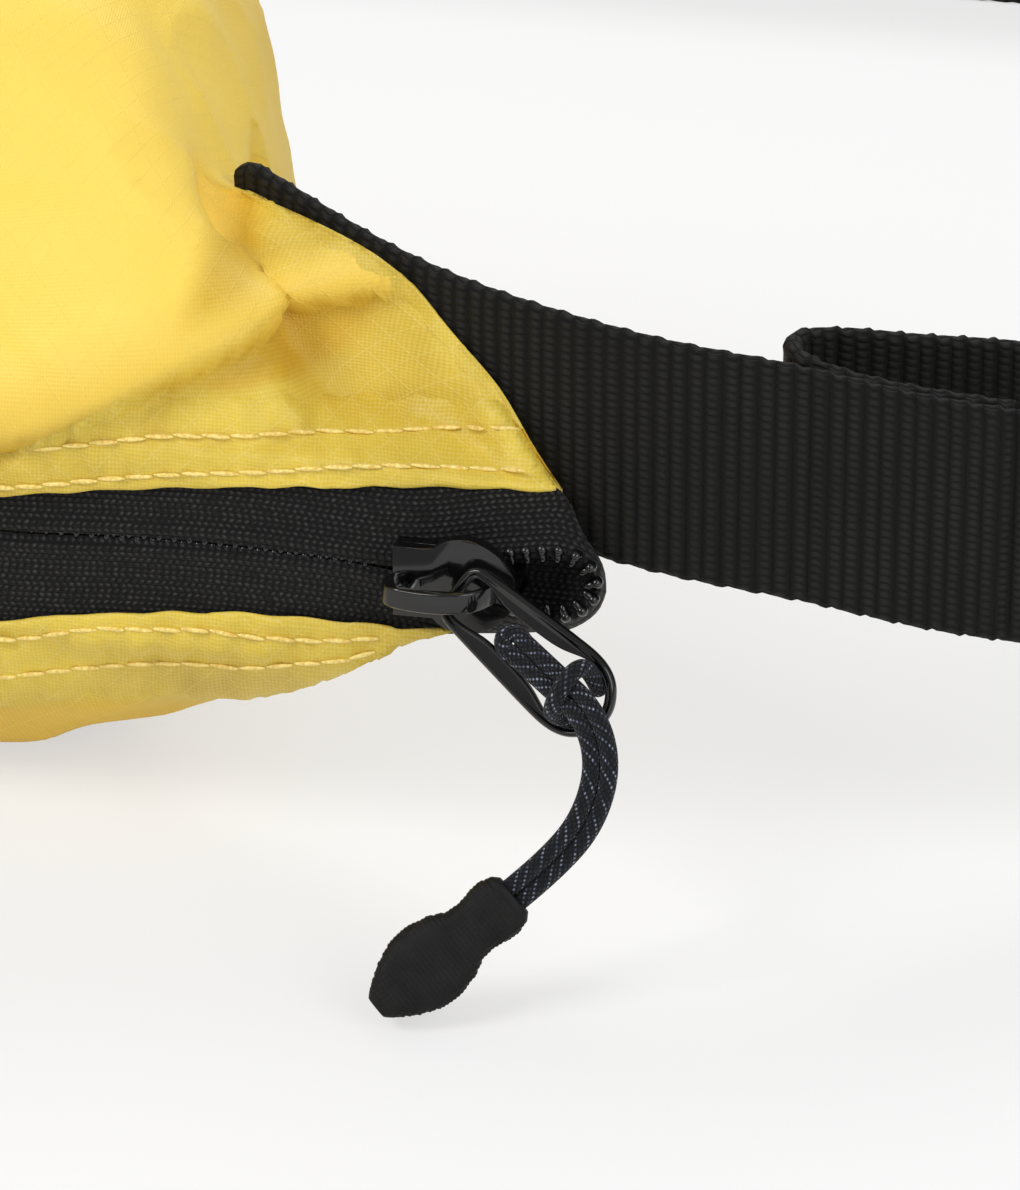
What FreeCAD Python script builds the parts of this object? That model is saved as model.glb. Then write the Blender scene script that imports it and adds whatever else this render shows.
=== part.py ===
"""Soft zipped tail bag with a webbing belt and a side-release buckle.

Frame: X to the wearer's left along the zipper, Y to the rear, Z up.  The origin is on
the flat base, under the middle of the zipper.  Millimetres.
"""
import FreeCAD, Part
import math
import os
import re

import Sketcher

from FreeCAD import Placement, Rotation, Vector

os.makedirs("parts", exist_ok=True)
doc = FreeCAD.newDocument("tail_bag")

# ---------------------------------------------------------------- driving sizes
SIZES = {
    "channel": 7.2,            # room behind the zipper for the slider
    "zip_level": 35.0,         # height of the zipper's centre line
    "zip_front": 40.0,         # how far the zipper stands in front of the origin
    "back_seam": 40.0,         # where the back panel is sewn on
    "slot_up": 7.0,            # fabric opening above the zipper's centre line
    "slot_down": 7.0,          # fabric opening below the zipper's centre line
    "zip_half": 160.0,         # half the zipper's length
    "tape_thick": 0.8,
    "tape_gap": 0.9,           # half the gap between the two tapes
    "coil_dia": 1.9,
    "tooth_pitch": 1.6,
    "tooth_dia": 0.8,
    "tooth_reach": 0.9,
    "mouth_centre": 160.5,     # centre of the open end of the zipper
    "mouth_long": 4.8,         # half the mouth's length
    "mouth_high": 3.0,         # half the mouth's height
    "slider_place": 150.5,
    "slider_long": 12.6,
    "slider_tail_wide": 7.6,
    "slider_nose_wide": 10.4,
    "plate_thick": 1.3,
    "plate_gap": 4.4,          # between the slider's two plates
    "post_wide": 1.3,
    "rim_high": 1.2,
    "bridge_wide": 2.2,
    "bridge_thick": 1.1,
    "bridge_inside": 3.4,      # clear height under the bridge
    "lock_thick": 0.4,
    "ring_long": 20.0,
    "ring_wide": 9.4,
    "ring_neck": 6.8,
    "ring_corner": 1.6,
    "ring_thick": 1.3,
    "ring_rail": 1.2,
    "ring_bar": 1.2,
    "ring_edge": 0.35,
    "cord_dia": 3.2,           # the two strands side by side, as one round cord
    "grip_long": 17.5,
    "grip_neck": 6.0,
    "grip_belly": 8.6,
    "grip_thick": 3.8,
    "grip_edge": 0.9,
    "web_wide": 25.0,
    "web_thick": 1.8,
    "buckle_wide": 34.0,
    "buckle_thick": 9.0,
    "buckle_wall": 1.9,
    "socket_long": 26.0,
    "bar_dia": 3.2,
    "bar_slot": 5.0,
    "prong_clear": 0.3,
    "keeper_wide": 8.0,
    "keeper_wall": 1.0,
}
sheet = doc.addObject("Spreadsheet::Sheet", "Sizes")
for row, (alias, value) in enumerate(SIZES.items(), start=1):
    sheet.set("A%d" % row, alias)
    sheet.set("B%d" % row, repr(value))
    sheet.setAlias("B%d" % row, alias)
doc.recompute()


def size(alias):
    """Return one cell of the sheet, in millimetres."""
    return float(getattr(sheet, alias))


def cell(text):
    """Turn words such as 'web_wide / 2' into an expression on the sheet."""
    return re.sub("[a-z][a-z_]+", "Sizes." + r"\g<0>", text)


# ---------------------------------------------------------------- small builders
def box(name, lengths, corner):
    """A Part::Box whose three lengths and low corner follow the sheet."""
    block = doc.addObject("Part::Box", name)
    for side, words in zip(("Length", "Width", "Height"), lengths):
        block.setExpression(side, cell(words))
    for axis, words in zip("xyz", corner):
        block.setExpression("Placement.Base." + axis, cell(words))
    return block


def fuse(name, pieces):
    joined = doc.addObject("Part::MultiFuse", name)
    joined.Shapes = pieces
    joined.Refine = True
    return joined


def cut(name, base, tool):
    rest = doc.addObject("Part::Cut", name)
    rest.Base = base
    rest.Tool = tool
    rest.Refine = True
    return rest


def common(name, base, tool):
    overlap = doc.addObject("Part::Common", name)
    overlap.Base = base
    overlap.Tool = tool
    overlap.Refine = True
    return overlap


def rounded(name, base, radius, wanted):
    """Round the edges of base that wanted(edge) picks out."""
    doc.recompute()
    smooth = doc.addObject("Part::Fillet", name)
    smooth.Base = base
    picks = [n for n, edge in enumerate(base.Shape.Edges, start=1) if wanted(edge)]
    smooth.Edges = [(n, radius, radius) for n in picks]
    return smooth


def feature(name, shape, place=None):
    """A Part::Feature for lofts and sweeps."""
    piece = doc.addObject("Part::Feature", name)
    piece.Shape = shape
    if place is not None:
        piece.Placement = place
    return piece


def along(edge, direction):
    """True when a straight edge runs along direction."""
    if edge.Curve.TypeId != "Part::GeomLine":
        return False
    return abs(abs(edge.Curve.Direction.dot(direction)) - 1) < 1e-6


def bounded(points):
    """Straight edges through points, closed into one wire."""
    return Part.makePolygon(list(points) + [points[0]])


X_AXIS = Vector(1, 0, 0)
Y_AXIS = Vector(0, 1, 0)
Z_AXIS = Vector(0, 0, 1)

# ---------------------------------------------------------------- the fabric shell
FRONT = -size("zip_front")
LEVEL = size("zip_level")
BAND_LOW = LEVEL - size("slot_down")
BAND_HIGH = LEVEL + size("slot_up")


def middle_section(x):
    """The full section of the bag, from under the zipper round to above it."""
    outline = [
        (x, FRONT, BAND_LOW), (x, -34, 9), (x, -18, 0), (x, 20, 0), (x, 36, 6),
        (x, 46, 26), (x, 48, 52), (x, 42, 78), (x, 24, 95), (x, 2, 100),
        (x, -18, 92), (x, -33, 70), (x, FRONT, BAND_HIGH),
    ]
    return [Vector(*point) for point in outline]


def shoulder_section(side):
    """Where the bag starts to close towards its end seam."""
    outline = [
        (128, FRONT, BAND_LOW), (120, -32, 12), (108, -20, 4), (101, 6, 3), (101, 24, 9),
        (106, 31, 26), (109, 29, 46), (110, 23, 64), (108, 12, 80), (108, -6, 84),
        (112, -20, 77), (119, -32, 62), (127, FRONT, BAND_HIGH),
    ]
    return [Vector(side * x, y, z) for x, y, z in outline]


SEAM_TOP = Vector(122, -18.5, 67)
SEAM_LOW = Vector(164.5, -36.2, 33)
SEAM_HALF = 1.7
FLANGE = Vector(9.3, -4.2, 11.7)      # how far the pinched cloth runs on before it is trimmed


def seam_section(side, shift):
    """The pinched end: a flat slit from the zipper up to the seam's tip."""
    run = SEAM_TOP - SEAM_LOW
    across = Vector(-run.y, run.x, 0).normalize() * SEAM_HALF
    low = SEAM_LOW + shift
    back = [0.03, 0.08, 0.2, 0.34, 0.48, 0.62, 0.76, 0.9, 1.0]
    front = [0.82, 0.6, 0.38, 0.16]
    points = [low + run * share - across for share in back]
    points += [low + run * share + across for share in front]
    return [Vector(side * p.x, p.y, p.z) for p in points]


SEAM_LINE = [
    (117, 69), (123, 66), (129, 64.6), (136, 63.2), (142, 60.5), (147, 56.6), (152, 51.6),
    (156, 47.4), (160, 42.8), (163, 38.5), (165.2, 33.5), (166, 26),
]


def seam_trim(side):
    """Everything past the end seam's curved edge, seen from the front."""
    curve = Part.BSplineCurve()
    curve.interpolate([Vector(side * x, -70, z) for x, z in SEAM_LINE])
    rim = [Vector(side * x, -70, z) for x, z in ((166, 26), (190, 26), (190, 110), (117, 110),
                                                 (117, 69))]
    sides = [Part.makeLine(first, second) for first, second in zip(rim, rim[1:])]
    region = Part.Face(Part.Wire([curve.toShape()] + sides))
    return region.extrude(Vector(0, 90, 0))


def section_wire(points):
    """A straight zipper band, and facets along one smooth curve round the rest."""
    skin = Part.BSplineCurve()
    skin.interpolate(points)
    return bounded(skin.discretize(SECTION_FACETS))


SECTION_FACETS = 24
outer_sections = [
    seam_section(-1, FLANGE), seam_section(-1, Vector()), shoulder_section(-1),
    middle_section(-82), middle_section(-68), middle_section(0), middle_section(68),
    middle_section(82),
    shoulder_section(1), seam_section(1, Vector()), seam_section(1, FLANGE),
]
outer = Part.makeLoft([section_wire(p) for p in outer_sections], True, False)

bag_solid = feature("bag_outer", outer)
trim_right = feature("trim_right", seam_trim(1))
trim_left = feature("trim_left", seam_trim(-1))
slot = box(
    "zip_slot",
    ("2 * zip_half + 20", "channel + 4", "slot_up + slot_down"),
    ("-zip_half - 10", "-zip_front - 4", "zip_level - slot_down"),
)

# ---------------------------------------------------------------- zipper tapes
MOUTH = Vector(size("mouth_centre"), 0, LEVEL)
PARTING = size("slider_place") - size("slider_long") / 2
TAPE_END = size("zip_half")


def tape_outline(side):
    """One tape seen from the front; side is 1 above the chain and -1 below it."""
    gap = size("tape_gap")
    high = size("mouth_high")
    reach = size("slot_up" if side > 0 else "slot_down")
    start = Vector(PARTING, 0, LEVEL + side * gap)
    spread = Vector(MOUTH.x - size("mouth_long") * 0.6, 0, LEVEL + side * high)
    nose = Vector(MOUTH.x + size("mouth_long"), 0, LEVEL + side * gap * 0.1)
    bulge = Vector(MOUTH.x + size("mouth_long") * 0.75, 0, LEVEL + side * high * 0.72)
    opening = Part.BSplineCurve()
    opening.interpolate([start, spread, bulge, nose])
    tip = Vector(MOUTH.x + size("mouth_long") + 0.8, 0, nose.z)
    corner = Vector(tip.x - 5, 0, LEVEL + side * reach)
    far = Vector(-TAPE_END, 0, LEVEL + side * reach)
    low = Vector(-TAPE_END, 0, LEVEL + side * gap)
    edges = [opening.toShape()]
    for first, last in ((nose, tip), (tip, corner), (corner, far), (far, low), (low, start)):
        edges.append(Part.makeLine(first, last))
    return Part.Face(Part.Wire(edges))


def tape(name, side):
    """A flat woven tape, set just behind the fabric's face."""
    sheet_face = tape_outline(side)
    sheet_face.translate(Vector(0, FRONT + 0.2, 0))
    return feature(name, sheet_face.extrude(Vector(0, size("tape_thick"), 0)))


tape_up = tape("zip_tape_upper", 1)
tape_low = tape("zip_tape_lower", -1)
TAPE_BACK = FRONT + 0.2 + size("tape_thick")


# ---------------------------------------------------------------- coils
def coil(name, side):
    """A coil along the tape's edge, with its separate turns round the open mouth."""
    radius = size("coil_dia") / 2
    depth = TAPE_BACK + radius
    rise = size("mouth_high") + radius
    level = LEVEL + side * (radius + 0.05)
    top = LEVEL + side * rise
    start = Vector(-TAPE_END, depth, level)
    leave = Vector(PARTING, depth, level)
    bend = [
        leave, Vector(MOUTH.x - size("mouth_long") * 0.5, depth, top),
        Vector(MOUTH.x + rise * 0.2, depth, top),
        Vector(MOUTH.x + rise * 0.86, depth, LEVEL + side * rise * 0.62),
        Vector(MOUTH.x + rise, depth, level),
    ]
    path = Part.BSplineCurve()
    path.interpolate(Points=bend, InitialTangent=X_AXIS * 8, FinalTangent=Z_AXIS * -8 * side)
    section = Part.Wire(Part.makeCircle(radius, leave, X_AXIS))
    spread = Part.Wire(path.toShape()).makePipeShell([section], True, False)
    pieces = [Part.makeCylinder(radius, leave.x - start.x, start, X_AXIS), spread]
    reach = radius + size("tooth_reach")
    first = size("slider_long")
    for step in range(int((path.length() - first) / size("tooth_pitch")) + 1):
        place = path.parameterAtDistance(first + step * size("tooth_pitch"))
        inwards = Y_AXIS.cross(path.tangent(place)[0]) * side
        pieces.append(Part.makeCylinder(size("tooth_dia") / 2, reach, path.value(place), inwards))
    return feature(name, pieces[0].multiFuse(pieces[1:]).removeSplitter())


coil_up = coil("coil_upper", 1)
coil_low = coil("coil_lower", -1)

# ---------------------------------------------------------------- sketch helpers
def design_body(name, place=None):
    """A PartDesign body with its own place."""
    body = doc.addObject("PartDesign::Body", name)
    if place is not None:
        body.Placement = place
    return body


def sketch_on(body, role, name, lift=0.0):
    """A sketch on one of the body's own origin planes, lifted along its normal."""
    sketch = body.newObject("Sketcher::SketchObject", name)
    plane = [item for item in body.Origin.OriginFeatures if item.Role == role][0]
    sketch.AttachmentSupport = [(plane, "")]
    sketch.MapMode = "FlatFace"
    sketch.AttachmentOffset = Placement(Vector(0, 0, lift), Rotation())
    return sketch


def draw_rectangle(sketch, left, low, wide, high):
    """A rectangle whose place and size are expressions on the sheet."""
    corners = [(0, 0), (1, 0), (1, 1), (0, 1)]
    for number, (across, up) in enumerate(corners):
        nxt = corners[(number + 1) % 4]
        sketch.addGeometry(Part.LineSegment(
            Vector(across * 5, up * 5, 0), Vector(nxt[0] * 5, nxt[1] * 5, 0)), False)
    for number in range(4):
        sketch.addConstraint(Sketcher.Constraint("Coincident", number, 2, (number + 1) % 4, 1))
    sketch.addConstraint(Sketcher.Constraint("Horizontal", 0))
    sketch.addConstraint(Sketcher.Constraint("Vertical", 1))
    sketch.addConstraint(Sketcher.Constraint("Horizontal", 2))
    sketch.addConstraint(Sketcher.Constraint("Vertical", 3))
    bind(sketch, "DistanceX", (0, 1, 0, 2), wide)
    bind(sketch, "DistanceY", (1, 1, 1, 2), high)
    bind(sketch, "DistanceX", (-1, 1, 0, 1), left)
    bind(sketch, "DistanceY", (-1, 1, 0, 1), low)


def bind(sketch, kind, targets, words):
    """Add a dimension and tie it to the sheet."""
    value = eval_words(words)
    number = sketch.addConstraint(Sketcher.Constraint(kind, *targets, value))
    sketch.setExpression("Constraints[%d]" % number, cell(words))
    return number


def eval_words(words):
    """Work out an expression on the sheet through a spare cell."""
    sheet.set("D1", "=" + cell(words).replace("Sizes.", ""))
    sheet.recompute()
    return float(sheet.get("D1"))


def draw_stirrup(sketch, start, neck_half, corner, far_radius, far_centre):
    """A short bar, two spreading rails and a round far end, along the sketch's X axis."""
    low_x, half, small, big, far_x = [
        eval_words(words) for words in (start, neck_half, corner, far_radius, far_centre)]
    knee = Vector(low_x + small, half - small, 0)
    far = Vector(far_x, 0, 0)
    span = far - knee
    lean = math.atan2(span.y, span.x) + math.acos((small - big) / span.Length)

    def mirrored(point, sign):
        return Vector(point.x, sign * point.y, 0)

    out = Vector(math.cos(lean), math.sin(lean), 0)
    sketch.addGeometry(Part.ArcOfCircle(Part.Circle(far, Z_AXIS, big), -lean, lean), False)
    for sign in (1, -1):
        sketch.addGeometry(Part.LineSegment(
            mirrored(far + out * big, sign), mirrored(knee + out * small, sign)), False)
    sketch.addGeometry(Part.ArcOfCircle(
        Part.Circle(knee, Z_AXIS, small), lean, math.pi), False)
    sketch.addGeometry(Part.ArcOfCircle(
        Part.Circle(mirrored(knee, -1), Z_AXIS, small), math.pi, 2 * math.pi - lean), False)
    sketch.addGeometry(Part.LineSegment(
        Vector(low_x, knee.y, 0), Vector(low_x, -knee.y, 0)), False)
    meetings = ((0, 2, 1, 1), (1, 2, 3, 1), (3, 2, 5, 1), (5, 2, 4, 1), (4, 2, 2, 2), (2, 1, 0, 1))
    for meeting in meetings:
        sketch.addConstraint(Sketcher.Constraint("Tangent", *meeting))
    sketch.addConstraint(Sketcher.Constraint("PointOnObject", 0, 3, -1))
    sketch.addConstraint(Sketcher.Constraint("Vertical", 5))
    bind(sketch, "Radius", (0,), far_radius)
    bind(sketch, "Radius", (3,), corner)
    bind(sketch, "Radius", (4,), corner)
    bind(sketch, "DistanceX", (-1, 1, 0, 3), far_centre)
    bind(sketch, "DistanceX", (-1, 1, 5, 1), start)
    bind(sketch, "DistanceY", (-1, 1, 3, 3), "%s - (%s)" % (neck_half, corner))


def pad(body, sketch, name, words, midplane=False, reverse=False):
    extrusion = body.newObject("PartDesign::Pad", name)
    extrusion.Profile = sketch
    extrusion.Midplane = midplane
    extrusion.Reversed = reverse
    extrusion.setExpression("Length", cell(words))
    return extrusion


def pocket(body, sketch, name, words, midplane=True):
    hollow = body.newObject("PartDesign::Pocket", name)
    hollow.Profile = sketch
    hollow.Midplane = midplane
    hollow.setExpression("Length", cell(words))
    return hollow


def bevelled(body, base, name, depth, wanted):
    """A PartDesign chamfer on the edges that wanted(edge) picks out."""
    doc.recompute()
    edges = ["Edge%d" % n for n, e in enumerate(base.Shape.Edges, start=1) if wanted(e)]
    bevel = body.newObject("PartDesign::Chamfer", name)
    bevel.Base = (base, edges)
    bevel.Size = depth
    return bevel


# ---------------------------------------------------------------- slider
SLIDER = Vector(size("slider_place"), FRONT, LEVEL)


def plate_outline(sketch, tail_wide, nose_wide, long):
    """A slider plate: straight tail, flared shoulders, rounded nose; X along the chain."""
    tail = tail_wide / 2
    nose = nose_wide / 2
    half = long / 2
    upper = [
        Vector(-half, tail, 0), Vector(-half * 0.36, tail * 0.98, 0),
        Vector(half * 0.12, nose * 0.99, 0), Vector(half * 0.62, nose * 0.8, 0),
        Vector(half, nose * 0.2, 0),
    ]
    for sign in (1, -1):
        first = Vector(upper[0].x, sign * upper[0].y, 0)
        second = Vector(upper[1].x, sign * upper[1].y, 0)
        sketch.addGeometry(Part.LineSegment(first, second), False)
        side_curve = Part.BSplineCurve()
        side_curve.interpolate([Vector(p.x, sign * p.y, 0) for p in upper[1:]])
        sketch.addGeometry(side_curve, False)
    last = upper[-1]
    sketch.addGeometry(Part.LineSegment(last, Vector(last.x, -last.y, 0)), False)
    sketch.addGeometry(Part.LineSegment(
        Vector(-half, -tail, 0), Vector(-half, tail, 0)), False)


slider = design_body("slider_body", Placement(SLIDER, Rotation()))
PLATE_FACE = 1.2
PLATES = ("slider_tail_wide", "slider_nose_wide", "slider_long")


def slider_plate(name, lift):
    outline = sketch_on(slider, "XZ_Plane", name + "_outline", lift)
    plate_outline(outline, *(size(alias) for alias in PLATES))
    return pad(slider, outline, name, "plate_thick")


front_plate = slider_plate("front_plate", PLATE_FACE)
rear_plate = slider_plate("rear_plate", PLATE_FACE - size("plate_gap") - size("plate_thick"))
post_sketch = sketch_on(slider, "XZ_Plane", "post_outline", PLATE_FACE - size("plate_gap") - 0.1)
draw_rectangle(post_sketch, "slider_long * 0.28", "-post_wide / 2", "slider_long * 0.2", "post_wide")
post = pad(slider, post_sketch, "post", "plate_gap + 0.2")

for side, words in ((1, "slider_tail_wide / 2 - 0.8"), (-1, "-slider_tail_wide / 2")):
    for level in ("front", "rear"):
        name = "%s_rim_%s" % (level, "upper" if side > 0 else "lower")
        if level == "front":
            lift = PLATE_FACE - size("rim_high")
        else:
            lift = PLATE_FACE - size("plate_gap") - 0.05
        rim = sketch_on(slider, "XZ_Plane", name + "_outline", lift)
        draw_rectangle(rim, "-slider_long / 2", words, "slider_long * 0.5", "0.8")
        last_rim = pad(slider, rim, name, "rim_high + 0.05")
doc.recompute()

# ---------------------------------------------------------------- bridge and lock
bridge = design_body("slider_bridge", Placement(SLIDER, Rotation()))
BRIDGE_FOOT = -(PLATE_FACE + size("plate_thick"))
BRIDGE_HALF = size("slider_long") / 2 - 0.3


def bridge_wire(sketch):
    """The bridge from its tail foot, over the gap, down to the nose: one bent strip."""
    thick = size("bridge_thick")
    inside = size("bridge_inside")
    foot = BRIDGE_FOOT
    crown = foot - inside
    outer_line = [
        (-BRIDGE_HALF, foot), (-BRIDGE_HALF + 0.2, crown - thick * 0.5),
        (-BRIDGE_HALF + 2.0, crown - thick), (0.2, crown - thick), (2.4, crown - thick * 0.2),
        (BRIDGE_HALF - 1.9, foot - thick * 1.2), (BRIDGE_HALF - 1.5, foot),
    ]
    inner_line = [
        (BRIDGE_HALF - 2.3, foot), (BRIDGE_HALF - 2.5, foot - thick * 0.8),
        (2.0, crown + thick * 0.3), (0.0, crown), (-BRIDGE_HALF + 2.2, crown),
        (-BRIDGE_HALF + 1.3, crown + thick * 0.7), (-BRIDGE_HALF + 1.2, foot),
    ]
    for line in (outer_line, inner_line):
        curve = Part.BSplineCurve()
        curve.interpolate([Vector(x, y, 0) for x, y in line])
        sketch.addGeometry(curve, False)
    for first, last in ((outer_line[-1], inner_line[0]), (inner_line[-1], outer_line[0])):
        sketch.addGeometry(Part.LineSegment(Vector(*first, 0), Vector(*last, 0)), False)


bridge_sketch = sketch_on(bridge, "XY_Plane", "bridge_outline")
bridge_wire(bridge_sketch)
bridge_pad = pad(bridge, bridge_sketch, "bridge_strip", "bridge_wide", midplane=True)

lock = design_body("slider_lock", Placement(SLIDER, Rotation()))
lock_sketch = sketch_on(lock, "XY_Plane", "lock_outline")
draw_rectangle(
    lock_sketch, "-slider_long / 2 + 2.4", "-(plate_thick + bridge_inside) - 1.2 + 0.1",
    "slider_long * 0.22", "lock_thick")
lock_leaf = pad(lock, lock_sketch, "lock_leaf", "bridge_wide * 0.5", midplane=True)
pawl_sketch = sketch_on(lock, "XY_Plane", "pawl_outline")
draw_rectangle(
    pawl_sketch, "-slider_long / 2 + 2.4",
    "-(plate_thick + bridge_inside) - 1.2 + 0.1", "lock_thick", "bridge_inside - 0.2")
lock_pawl = pad(lock, pawl_sketch, "lock_pawl", "bridge_wide * 0.4", midplane=True)

# ---------------------------------------------------------------- pull ring
RING_ACROSS = Vector(0.56, 0.22, 0.80).normalize()
RING_ALONG = Vector(0.797, -0.281, -0.534)
RING_ALONG = (RING_ALONG - RING_ACROSS * RING_ALONG.dot(RING_ACROSS)).normalize()
RING_FACE = RING_ALONG.cross(RING_ACROSS)
RING_BAR = SLIDER + Vector(0.9, -4.3, 0.6)


def frame_rotation(x_dir, y_dir, z_dir):
    """The rotation that carries X, Y and Z to three given directions."""
    return Rotation(FreeCAD.Matrix(
        x_dir.x, y_dir.x, z_dir.x, 0,
        x_dir.y, y_dir.y, z_dir.y, 0,
        x_dir.z, y_dir.z, z_dir.z, 0,
        0, 0, 0, 1))


ring_turn = frame_rotation(RING_ALONG, RING_ACROSS, RING_FACE)
ring_start = RING_BAR - RING_ALONG * (size("ring_bar") / 2)
ring = design_body("pull_ring", Placement(ring_start, ring_turn))
ring_outline = sketch_on(ring, "XY_Plane", "ring_outline")
draw_stirrup(
    ring_outline, "0", "ring_neck / 2", "ring_corner", "ring_wide / 2",
    "ring_long - ring_wide / 2")
ring_blank = pad(ring, ring_outline, "ring_blank", "ring_thick", midplane=True)
ring_window = sketch_on(ring, "XY_Plane", "ring_window")
draw_stirrup(
    ring_window, "ring_bar", "ring_neck / 2 - ring_rail", "ring_corner - ring_rail + 0.2",
    "ring_wide / 2 - ring_rail", "ring_long - ring_wide / 2")
ring_hole = pocket(ring, ring_window, "ring_hole", "ring_thick * 2")
ring_soft = bevelled(ring, ring_hole, "ring_soft", size("ring_edge"), lambda edge: abs(
    abs(edge.CenterOfMass.z) - size("ring_thick") / 2) < 1e-3)

# ---------------------------------------------------------------- pull cord
CORD_ROUTE = [
    Vector(157.9, -47.2, 31.6), Vector(162.3, -49.9, 29.6), Vector(167.0, -53.7, 28.3),
    Vector(169.3, -57.0, 24.6), Vector(168.4, -59.4, 19.6), Vector(165.4, -61.6, 15.6),
    Vector(161.9, -63.6, 12.6),
]
ARC_SHARE = 0.45


def cord_path(points):
    """Straight runs joined by tangent arcs, as large as the runs allow."""
    edges = []
    radii = []
    here = points[0]
    for before, corner, after in zip(points, points[1:], points[2:]):
        into = (corner - before).normalize()
        out = (after - corner).normalize()
        turn = into.getAngle(out)
        reach = ARC_SHARE * min((corner - before).Length, (after - corner).Length)
        radii.append(reach / math.tan(turn / 2))
        first = corner - into * reach
        last = corner + out * reach
        bisector = (out - into).normalize()
        centre = corner + bisector * (radii[-1] / math.cos(turn / 2))
        halfway = centre - bisector * radii[-1]
        edges.append(Part.LineSegment(here, first).toShape())
        edges.append(Part.Arc(first, halfway, last).toShape())
        here = last
    edges.append(Part.LineSegment(here, points[-1]).toShape())
    return Part.Wire(edges), radii


cord_wire, cord_radii = cord_path(CORD_ROUTE)
cord_section = Part.Wire(Part.makeCircle(
    size("cord_dia") / 2, CORD_ROUTE[0], CORD_ROUTE[1] - CORD_ROUTE[0]))
cord = feature("pull_cord", cord_wire.makePipeShell([cord_section], True, True))
print("cord length %.1f, radii %s" % (cord_wire.Length, [round(r, 1) for r in cord_radii]))
print("cord volume %.1f, section times length %.1f" % (
    cord.Shape.Volume, math.pi * size("cord_dia") ** 2 / 4 * cord_wire.Length))

# ---------------------------------------------------------------- moulded cord end
GRIP_HEAD = CORD_ROUTE[-1]
GRIP_ALONG = (GRIP_HEAD - CORD_ROUTE[-2]).normalize()
GRIP_SIDE = GRIP_ALONG.cross(Vector(0.219, -0.879, 0.423)).normalize()
GRIP_FACE = GRIP_ALONG.cross(GRIP_SIDE)
grip = design_body("cord_end", Placement(
    GRIP_HEAD, frame_rotation(GRIP_ALONG, GRIP_SIDE, GRIP_FACE)))
grip_outline = sketch_on(grip, "XY_Plane", "grip_outline")


def draw_grip(sketch):
    """Head, waist, belly and a blunt tip, alike on both sides."""
    long = size("grip_long")
    neck = size("grip_neck") / 2
    belly = size("grip_belly") / 2
    flank = [
        (0.6, neck * 0.94), (long * 0.1, neck * 1.04), (long * 0.27, neck * 0.9),
        (long * 0.42, belly * 0.88), (long * 0.6, belly), (long * 0.8, belly * 0.82),
        (long - 0.7, neck * 0.72),
    ]
    for sign in (1, -1):
        curve = Part.BSplineCurve()
        curve.interpolate([Vector(x, sign * y, 0) for x, y in flank])
        sketch.addGeometry(curve, False)
        for end, pull_in in ((flank[0], -0.6), (flank[-1], 0.7)):
            sketch.addGeometry(Part.LineSegment(
                Vector(end[0], sign * end[1], 0),
                Vector(end[0] + pull_in, sign * (end[1] - 0.6), 0)), False)
    for end, pull_in in ((flank[0], -0.6), (flank[-1], 0.7)):
        sketch.addGeometry(Part.LineSegment(
            Vector(end[0] + pull_in, end[1] - 0.6, 0),
            Vector(end[0] + pull_in, -(end[1] - 0.6), 0)), False)


draw_grip(grip_outline)
grip_pad = pad(grip, grip_outline, "grip_pad", "grip_thick", midplane=True)
grip_soft = bevelled(grip, grip_pad, "grip_soft", size("grip_edge"), lambda edge: abs(
    abs(edge.CenterOfMass.z) - size("grip_thick") / 2) < 1e-3)

# ---------------------------------------------------------------- webbing
BUCKLE = Vector(264, 92, 17)      # the buckle's mouth: where socket and plug meet
STRAP_REST = size("web_wide") / 2 + 0.1


def stations(line):
    """Places along a curve, close together where it bends hard."""
    places = [line.FirstParameter]
    run = 0
    while True:
        bend = max(line.curvature(places[-1]), 1e-4)
        run += min(max(0.3 / bend, 0.8), 6)
        if run > line.length() - 0.8:
            break
        places.append(line.parameterAtDistance(run))
    return places + [line.LastParameter]


def webbing(points):
    """A flat strap standing on edge, through plan points with their own levels."""
    line = Part.BSplineCurve()
    line.interpolate([Vector(*point) for point in points])
    high = Vector(0, 0, size("web_wide") / 2)
    wires = []
    for place in stations(line):
        spot = line.value(place)
        heading = line.tangent(place)[0]
        out = Vector(-heading.y, heading.x, 0).normalize() * (size("web_thick") / 2)
        wires.append(bounded([spot + out + high, spot - out + high,
                              spot - out - high, spot + out - high]))
    faces = [Part.Face(wires[0]), Part.Face(wires[-1])]
    for near, far in zip(wires, wires[1:]):
        faces += [Part.makeRuledSurface(*edges) for edges in zip(near.Edges, far.Edges)]
    skin = Part.makeShell(faces)
    skin.sewShape()
    return Part.Solid(skin)


RIGHT_RUN = [
    (121, -15.3, 55.5), (131, -20.6, 52.8), (142, -25.6, 50.3), (153, -29.8, 48.8), (165, -33.2, 48),
    (174, -34.6, 47.4), (183, -34.2, 46.3), (193, -31.6, 43.8), (204, -27, 40.8),
    (228, -11, 33.5), (248, 14, 26), (259, 38, 20), (265.6, 52, 17.4),
]
BAR_LOCAL = -(size("socket_long") + size("bar_slot") + size("bar_dia") / 2)
BAR = BUCKLE + Vector(0, BAR_LOCAL, 0)
WRAP_SIDE = size("bar_dia") / 2 + size("web_thick") / 2 + 0.4
WRAP_DEEP = size("bar_dia") / 2 + size("web_thick") / 2 + 0.2
RETURN_RUN = [
    (257.6, 50, 17.6), (250.5, 37, 20.6), (238, 18, 26.5), (222, 0.5, 34.5), (211, -7.5, 39),
    (201, -13.5, 42.2), (190.5, -20.5, 45), (184.2, -24.2, 46.3), (181.6, -27, 46.6),
    (182.3, -30.2, 46.4), (186.2, -31.6, 45.6), (194, -29.4, 43.4), (203.5, -25.2, 40.8),
]
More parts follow.
